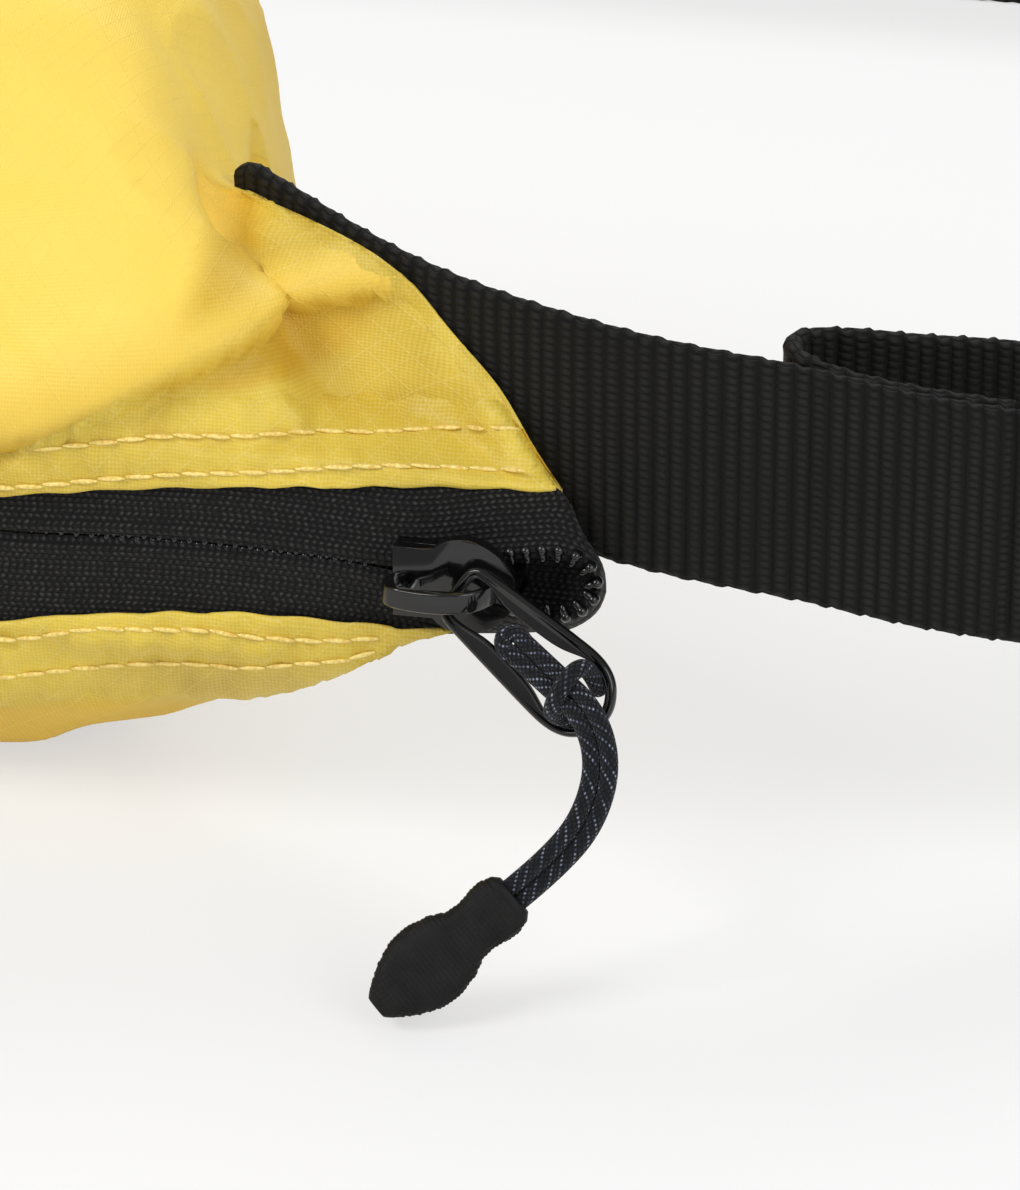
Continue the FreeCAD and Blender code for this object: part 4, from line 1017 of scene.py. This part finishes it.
BIGHT = [
    # along, across and out of the ring, in millimetres: over the strands, then behind the far rim
    (17.2, 1.6, -1.2), (16.5, 2.4, 0.2), (15.7, 3.0, 1.3), (15.2, 3.1, 2.7), (15.1, 2.3, 3.95), (15.3, 1.0, 4.55),
    (15.5, -0.6, 4.25), (15.7, -1.9, 3.2), (16.0, -2.5, 1.7), (16.7, -2.5, 0.3), (17.6, -1.9, -1.1),
    (18.6, -1.2, -1.8),
]


def loop_mesh(name, line):
    """The cord's own bight drawn tight over its strands, and its crown behind the ring's bar."""
    over, _ = smooth_run([tuple(ring_spot(*place)) for place in BIGHT], 0.3)
    starts = [strand_line(line, sign)[0] for sign in (1, -1)]
    back = (line[0] - line[3]).normalized()
    top = (starts[0] + starts[1]) / 2 + back * 1.5
    crown, _ = smooth_run([tuple(starts[0] - back * 0.6), tuple(starts[0] + back * 0.7), tuple(top),
                           tuple(starts[1] + back * 0.7), tuple(starts[1] - back * 0.6)], 0.25)
    return joined(name, *(round_tube("bight", [Vector(p) for p in run], STRAND_DIA / 2) for run in (over, crown)))


# ------------------------------------------------------------ moulded end
GRIP_HEAD = Vector(CORD_ROUTE[-1])
GRIP_ALONG = (GRIP_HEAD - Vector(CORD_ROUTE[-2])).normalized()
GRIP_SIDE = GRIP_ALONG.cross(VIEW_FROM).normalized()
GRIP_FACE = GRIP_ALONG.cross(GRIP_SIDE)
GRAIN = 0.46
GRAIN_HIGH = 0.09
SQUARENESS = 3.2
GRIP_FLANK = [(0, 2.2), (0.6, 2.8), (1.8, 3.15), (3.2, 3.1), (4.8, 2.72), (6.2, 2.9), (8.0, 3.8), (10.5, 4.3),
              (12.6, 4.05), (14.6, 3.2), (16.2, 2.2), (17.0, 1.6), (17.4, 1.2)]


def grip_mesh(name):
    """A soft moulded end: waisted, flattened, with a fine moulded grain."""
    rows, pairs = [], []
    turn = Matrix((GRIP_ALONG, GRIP_SIDE, GRIP_FACE)).transposed()
    for x in np.arange(0, 17.45, 0.14):
        half = line_at(GRIP_FLANK, x)
        deep = 1.9 * min(1, (half / 2.6)) ** 0.5 * (1 if x > 1 else 0.9)
        row = []
        for angle in np.linspace(0, 2 * math.pi, 121):
            c, s = math.cos(angle), math.sin(angle)
            flat = (abs(c) ** SQUARENESS + abs(s) ** SQUARENESS) ** (-1 / SQUARENESS)
            spot = Vector((x, c * flat * half, s * flat * deep))
            grain = math.sin(math.pi * (x + spot.y) / GRAIN) * math.sin(math.pi * (x - spot.y) / GRAIN)
            swell = (0.8 < x < 16.7) * GRAIN_HIGH * grain
            spot.y *= 1 + swell / max(half, 1)
            spot.z *= 1 + swell / deep
            row.append(GRIP_HEAD + turn @ spot)
            pairs.append((x / 10, angle * half / 10))
        rows.append(row)
    return skin(name, rows, pairs)


# ------------------------------------------------------------ finishes
class Term:
    """A number in a finish's pattern: arithmetic on it adds math nodes."""

    def __init__(self, finish, socket):
        self.finish, self.socket = finish, socket

    def __add__(self, other):
        return self.finish.math("ADD", self, other)

    def __sub__(self, other):
        return self.finish.math("SUBTRACT", self, other)

    def __rsub__(self, other):
        return self.finish.math("SUBTRACT", other, self)

    def __mul__(self, other):
        return self.finish.math("MULTIPLY", self, other)

    def __truediv__(self, other):
        return self.finish.math("DIVIDE", self, other)

    def __pow__(self, other):
        return self.finish.math("POWER", self, other)

    def __mod__(self, other):
        return self.finish.math("MODULO", self, other)


class Finish:
    """A material with one shader, and short words for wiring its pattern."""

    def __init__(self, name, **values):
        self.material = bpy.data.materials.new(name)
        self.material.use_nodes = True
        self.tree = self.material.node_tree
        self.shader = self.tree.nodes["Principled BSDF"]
        for key, value in values.items():
            self.shader.inputs[key.replace("_", " ")].default_value = value

    def node(self, kind, **values):
        item = self.tree.nodes.new("ShaderNode" + kind)
        for key, value in values.items():
            setattr(item, key, value)
        return item

    def wire(self, source, target):
        """Feed a socket with a term, a colour or a constant."""
        if isinstance(source, Term):
            self.tree.links.new(source.socket, target)
        else:
            target.default_value = (*source, 1) if isinstance(source, tuple) else source

    def math(self, operation, *terms):
        item = self.node("Math", operation=operation)
        for term, socket in zip(terms, item.inputs):
            self.wire(term, socket)
        return Term(self, item.outputs[0])

    def place(self, of_map=True):
        """The piece's own map, or its object coordinates, axis by axis in millimetres."""
        source = self.node("UVMap", uv_map="weave") if of_map else self.node("TexCoord")
        split = self.node("SeparateXYZ")
        self.tree.links.new(source.outputs[0 if of_map else "Object"], split.inputs[0])
        scale = 10.0 if of_map else 1000.0
        return [Term(self, socket) * scale for socket in split.outputs]

    def clouds(self, scale, detail=3.0, rough=0.55):
        item = self.node("TexNoise")
        self.tree.links.new(self.node("TexCoord").outputs["Object"], item.inputs["Vector"])
        for key, value in (("Scale", scale), ("Detail", detail), ("Roughness", rough)):
            item.inputs[key].default_value = value
        return Term(self, item.outputs[0])

    def share(self, attribute):
        """A share stored with the mesh's points."""
        return Term(self, self.node("Attribute", attribute_name=attribute).outputs["Fac"])

    def ramp(self, source, *stops):
        item = self.node("ValToRGB")
        self.wire(source, item.inputs[0])
        line = item.color_ramp
        while len(line.elements) < len(stops):
            line.elements.new(0.5)
        for element, (place, colour) in zip(line.elements, stops):
            element.position = place
            element.color = (*colour, 1) if isinstance(colour, tuple) else (colour, colour, colour, 1)
        return Term(self, item.outputs[0])

    def blend(self, share, first, second):
        item = self.node("Mix", data_type="RGBA")
        for source, socket in zip((share, first, second), (item.inputs[0], *item.inputs[6:8])):
            self.wire(source, socket)
        return Term(self, item.outputs[2])

    def finished(self, colour, height, depth, strength, rough=None):
        """Wire the pattern into the shader: its colour, its relief in metres and its roughness."""
        self.wire(colour, self.shader.inputs["Base Color"])
        if rough:
            self.wire(rough, self.shader.inputs["Roughness"])
        bump = self.node("Bump")
        for source, name in ((depth, "Distance"), (strength, "Strength"), (height, "Height")):
            self.wire(source, bump.inputs[name])
        self.tree.links.new(bump.outputs[0], self.shader.inputs["Normal"])
        return self.material


def sine(term):
    return term.finish.math("SINE", term)


def floor(term):
    return term.finish.math("FLOOR", term)


def ridges(term, pitch):
    """|sin|: round ridges a pitch apart."""
    return term.finish.math("ABSOLUTE", sine(term * (math.pi / pitch)))


CLOTH_THREAD = 0.28
CLOTH_GRID = 2.9
DASH = 0.83
TAPE_COURSE = 0.62
TAPE_STITCH = 0.78
BRAID_YARN = 0.5


def ripstop_cloth(name, deep, bright, pale, lit=None, sewn=None):
    """Plain weave cut on the bias, with a heavier thread now and then; a painted sheen lifts its crests and grid
    threads towards pale, and a painted glow lifts it towards the lit tone by the painted light share.
    """
    f = Finish(name, Roughness=0.46, Sheen_Weight=0.12, Sheen_Roughness=0.4, Specular_IOR_Level=0.35)
    f.shader.inputs["Sheen Tint"].default_value = (1.0, 0.9, 0.5, 1)
    u, v, _ = f.place()
    slants = [place * 0.7071 for place in (u + v, u - v)]
    over, under = (sine(slant * (math.pi / CLOTH_THREAD)) for slant in slants)
    weave = over * under * 0.5 + 0.5
    heavy = [f.math("MINIMUM", (0.14 - ridges(slant, CLOTH_GRID)) * 9, 1.0) for slant in slants]
    grid = f.math("MAXIMUM", f.math("MAXIMUM", *heavy), 0.0)
    cloud = f.clouds(60, 5)
    fine = f.clouds(1100, 2)
    tone = f.ramp(cloud, (0.3, deep), (0.7, bright))
    if sewn:
        double = f.share("sewn")
        tone = f.blend(double, tone, f.ramp(cloud, (0.3, sewn[0]), (0.7, sewn[1])))
        pale = f.blend(double, pale, sewn[2])
    # Painted sheen: the weave's crests and the heavier grid threads are lifted towards the pale tone.
    woven = f.blend(weave * (fine * 0.6 + 0.2) * 0.5, tone, pale)
    woven = f.blend(grid * 0.12, woven, pale)
    # Painted glow: the colour is lifted towards the lit tone by the painted light share, which also leaves painted
    # shade under the roll.
    if lit:
        woven = f.blend(f.share("painted_light_share"), woven, f.blend(grid * 0.1, lit, pale))
    return f.finished(woven, weave * 0.5 + grid * 0.4 + fine * 0.35, 0.00008, 0.8)


def webbing_cloth(name):
    """Heavy webbing: crosswise ribs, each a column of short yarn dashes, set half a dash apart."""
    f = Finish(name, Roughness=0.7, Sheen_Weight=0.02, Sheen_Roughness=0.5, Specular_IOR_Level=0.2)
    u, v, _ = f.place()
    shifted = v + floor(u / (RIB_PAIR / 2)) * (DASH / 2)
    rib = ridges(u, RIB_PAIR / 2) ** 0.7
    large = ridges(u, RIB_PAIR) * 0.3 + 0.7
    dash = ridges(shifted, DASH) ** 0.8 * 0.55 + 0.45
    height = rib * large * dash + f.clouds(2600, 2) * 0.14
    # The colour follows the relief: a painted highlight on the crests of the ribs and dashes and painted shade
    # between them, under a random tone.
    tone = f.ramp(height * (f.clouds(60, 5) * 0.6 + 0.7),
                  (0.15, (0.0006, 0.0006, 0.0005)), (0.6, (0.003, 0.003, 0.0026)), (1.0, (0.014, 0.0137, 0.012)))
    return f.finished(tone, height, 0.00038, 1.0)


def knit_tape(name):
    """Coarse knitted tape: leaning stitches in close rows, with scattered pale fibres."""
    f = Finish(name, Roughness=0.8, Sheen_Weight=0.05, Specular_IOR_Level=0.22)
    u, v, _ = f.place()
    row = floor(v / TAPE_COURSE)
    lean = (row % 2.0 * 2.0 - 1.0) * 0.45
    stitch = ridges(u + v * lean + row * 0.31, TAPE_STITCH)
    specks = f.clouds(1300, 2, 0.7)
    height = ridges(v, TAPE_COURSE) ** 0.6 * (stitch * 0.7 + 0.3)
    # The pale fibres are the tape's own; the colour also follows the stitches' relief: a painted highlight on their
    # crests, painted shade between them.
    tone = f.ramp(height * (specks + 0.35), (0.2, 0.0012), (0.62, 0.007), (0.95, 0.045))
    return f.finished(tone, height + specks * 0.3, 0.00022, 1.0)


def hard_finish(name, colour, rough, coat=0.0, grain=0.0, metallic=0.0):
    """Lacquer, moulded plastic or steel, with a faint grain and worn patches."""
    f = Finish(name, Metallic=metallic, Coat_Weight=coat, Coat_Roughness=0.04, Specular_IOR_Level=0.4)
    worn = tuple(min(1, c * 1.8 + 0.004) for c in colour)
    tone = f.ramp(f.clouds(220, 4), (0.35, colour), (0.75, worn))
    return f.finished(tone, f.clouds(1400 if grain else 300), 0.00003 + grain, 0.35,
                      rough=f.clouds(480) * (rough * 0.7) + rough)


def braided_cord(name):
    """A round braid: yarns crossing both ways, a few of them pale."""
    f = Finish(name, Roughness=0.75, Sheen_Weight=0.08, Specular_IOR_Level=0.25)
    u, v, _ = f.place()
    rise, turn = u * 0.72, v * 0.9
    left, right = rise + turn, rise - turn
    braid = ridges(left, BRAID_YARN) * ridges(right, BRAID_YARN)
    flecks = f.clouds(1500, 2, 0.6)
    pale = f.math("GREATER_THAN", sine(floor(left / BRAID_YARN) * 2.4), 0.35)
    # The pale yarns are the cord's own; the colour also follows the braid's relief: a painted highlight on the yarns'
    # crests, painted shade between them.
    pick = braid ** 0.7 * flecks * (pale * 0.6 + 0.62)
    tone = f.ramp(pick, (0.1, (0.0018, 0.0022, 0.004)), (0.32, (0.01, 0.012, 0.02)),
                  (0.5, (0.05, 0.06, 0.09)), (0.68, (0.3, 0.33, 0.41)))
    return f.finished(tone, braid + flecks * 0.3, 0.0002, 1.0)


def moulded_rubber(name):
    f = Finish(name, Specular_IOR_Level=0.25)
    tone = f.ramp(f.clouds(420, 5), (0.35, (0.003, 0.003, 0.003)), (0.7, (0.0075, 0.0072, 0.007)))
    return f.finished(tone, f.clouds(3200, 2), 0.00005, 0.5, rough=f.clouds(900) * 0.25 + 0.5)


def sewing_thread(name, light, dark):
    f = Finish(name, Roughness=0.45, Sheen_Weight=0.3)
    tone = f.ramp(f.clouds(2400, 2), (0.35, dark), (0.62, light))
    return f.finished(tone, f.clouds(4200, 2), 0.00004, 0.6)


def ribbed_elastic(name):
    f = Finish(name, Roughness=0.8, Sheen_Weight=0.15)
    height = ridges(f.place(of_map=False)[1], 0.9) + f.clouds(2200, 2) * 0.3
    # The colour follows the ribs' relief: a painted highlight on the ribs, painted shade between them.
    return f.finished(f.ramp(height, (0.2, 0.004), (0.9, 0.02)), height, 0.0002, 0.9)


# Each set holds a deep and a bright tone of the cloth, then a pale tone that is a painted sheen on the weave's
# crests.
SEWN_TONES = ((0.54, 0.36, 0.015), (0.77, 0.56, 0.045), (0.98, 0.87, 0.36))
# lit is a painted glow, standing in for light coming through the loose cloth.
RIPSTOP = ripstop_cloth("yellow_ripstop", (0.53, 0.30, 0.008), (0.68, 0.43, 0.02), (0.93, 0.74, 0.2),
                        lit=(1.0, 0.715, 0.115), sewn=SEWN_TONES)
RIPSTOP_DOUBLE = ripstop_cloth("yellow_ripstop_double", *SEWN_TONES)
WEBBING = webbing_cloth("black_webbing")
TAPE = knit_tape("zipper_tape_knit")
COIL = hard_finish("black_coil", (0.002, 0.002, 0.0022), 0.14, coat=0.4)
ENAMEL = hard_finish("black_enamel", (0.0018, 0.0018, 0.002), 0.1, coat=0.3)
STEEL = hard_finish("spring_steel_leaf", (0.45, 0.45, 0.46), 0.3, metallic=1.0)
CORD = braided_cord("dark_braid")
RUBBER = moulded_rubber("moulded_rubber")
ACETAL = hard_finish("moulded_acetal", (0.006, 0.006, 0.0062), 0.36, grain=0.00003)
THREAD = sewing_thread("yellow_thread", (0.98, 0.80, 0.26), (0.80, 0.52, 0.09))
ELASTIC = ribbed_elastic("black_elastic")

# ------------------------------------------------------------ putting it together
def softened(name, node, width, body, material, slot):
    """A packed rigid node with its edges rounded."""
    bm = opened(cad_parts[node].data)
    bmesh.ops.remove_doubles(bm, verts=bm.verts, dist=2e-6)
    bmesh.ops.dissolve_limit(bm, angle_limit=math.radians(1.5), verts=bm.verts, edges=bm.edges, delimit=set())
    mesh = with_modifier(mesh_of(bm, name), "BEVEL", width=width * MM, segments=3, limit_method="ANGLE",
                         angle_limit=math.radians(32), harden_normals=True)
    made(name, mesh, body, material, node, slot=slot)


body_mesh = make_body()
made("fabric_body", body_mesh, "bag", RIPSTOP, *SHELL_NODES, slot="ripstop")
body_tree = tree_of(body_mesh)
edges = [hem("hem_above", 1, body_tree), hem("hem_below", -1, body_tree),
         welt("end_fold_right", 1, body_tree), welt("end_fold_left", -1, body_tree)]
for mesh in edges:
    made(mesh.name, mesh, "bag", RIPSTOP_DOUBLE, slot="ripstop")
stitches = bmesh.new()
for spots, normals in rows_on(tree_of(body_mesh, *edges), ROWS, STITCH_PITCH):
    stitch_row(stitches, spots, normals)
made("stitches", mesh_of(stitches, "stitches"), "bag", THREAD, slot="ripstop")

right_strap = strap("strap_right", RIGHT_RUN + WRAP + RETURN_RUN, 0.58, 40)
made("strap_right", right_strap, "bag", WEBBING, "belt_short", slot="webbing")
left_strap = strap("strap_left", TAIL_RUN + LOOP_RUN + MAIN_RUN + BACK_RUN + LEFT_RUN, 1.15, 26)
belt = made("strap_left", left_strap, None, WEBBING, "belt_long", slot="webbing")
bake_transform(belt)

for make, name, finish, node, slot in (
        (zip_tape, "tape", TAPE, "zip_tape", "zipper_tape"), (coil_turns, "turns", COIL, "coil", "coil")):
    for side, level, node_level in ((1, "_above", "_upper"), (-1, "_below", "_lower")):
        made(name + level, make(name + level, side), "bag", finish, node + node_level, slot=slot)

for rigid in (
        ("slider_plates", "slider_body", 0.28, "slider", ENAMEL, "enamel"),
        ("slider_strip", "slider_bridge", 0.25, "slider", ENAMEL, "enamel"),
        ("slider_leaf", "slider_lock", 0.06, "slider", STEEL, "spring_steel"),
        ("socket_moulding", "buckle_socket", 0.5, "bag", ACETAL, "acetal"),
        ("plug_moulding", "buckle_plug", 0.45, "plug", ACETAL, "acetal"),
        ("arm_above", "buckle_prong_upper", 0.35, "prong_upper", ACETAL, "acetal"),
        ("arm_below", "buckle_prong_lower", 0.35, "prong_lower", ACETAL, "acetal"),
        ("keeper_band", "strap_keeper", 0.25, "keeper", ELASTIC, "elastic")):
    softened(*rigid)

made("ring_plate", ring_mesh("ring_plate"), "ring", ENAMEL, "pull_ring", slot="enamel")
route = cord_line()
cord = made("draw_cord", strands_mesh("draw_cord", route), "pull", CORD, "pull_cord", slot="cord")
loop = made("cord_loop", loop_mesh("cord_loop", route), "pull", CORD, slot="cord")
grip = made("cord_grip", grip_mesh("cord_grip"), "pull", RUBBER, "cord_end", slot="grip_rubber")
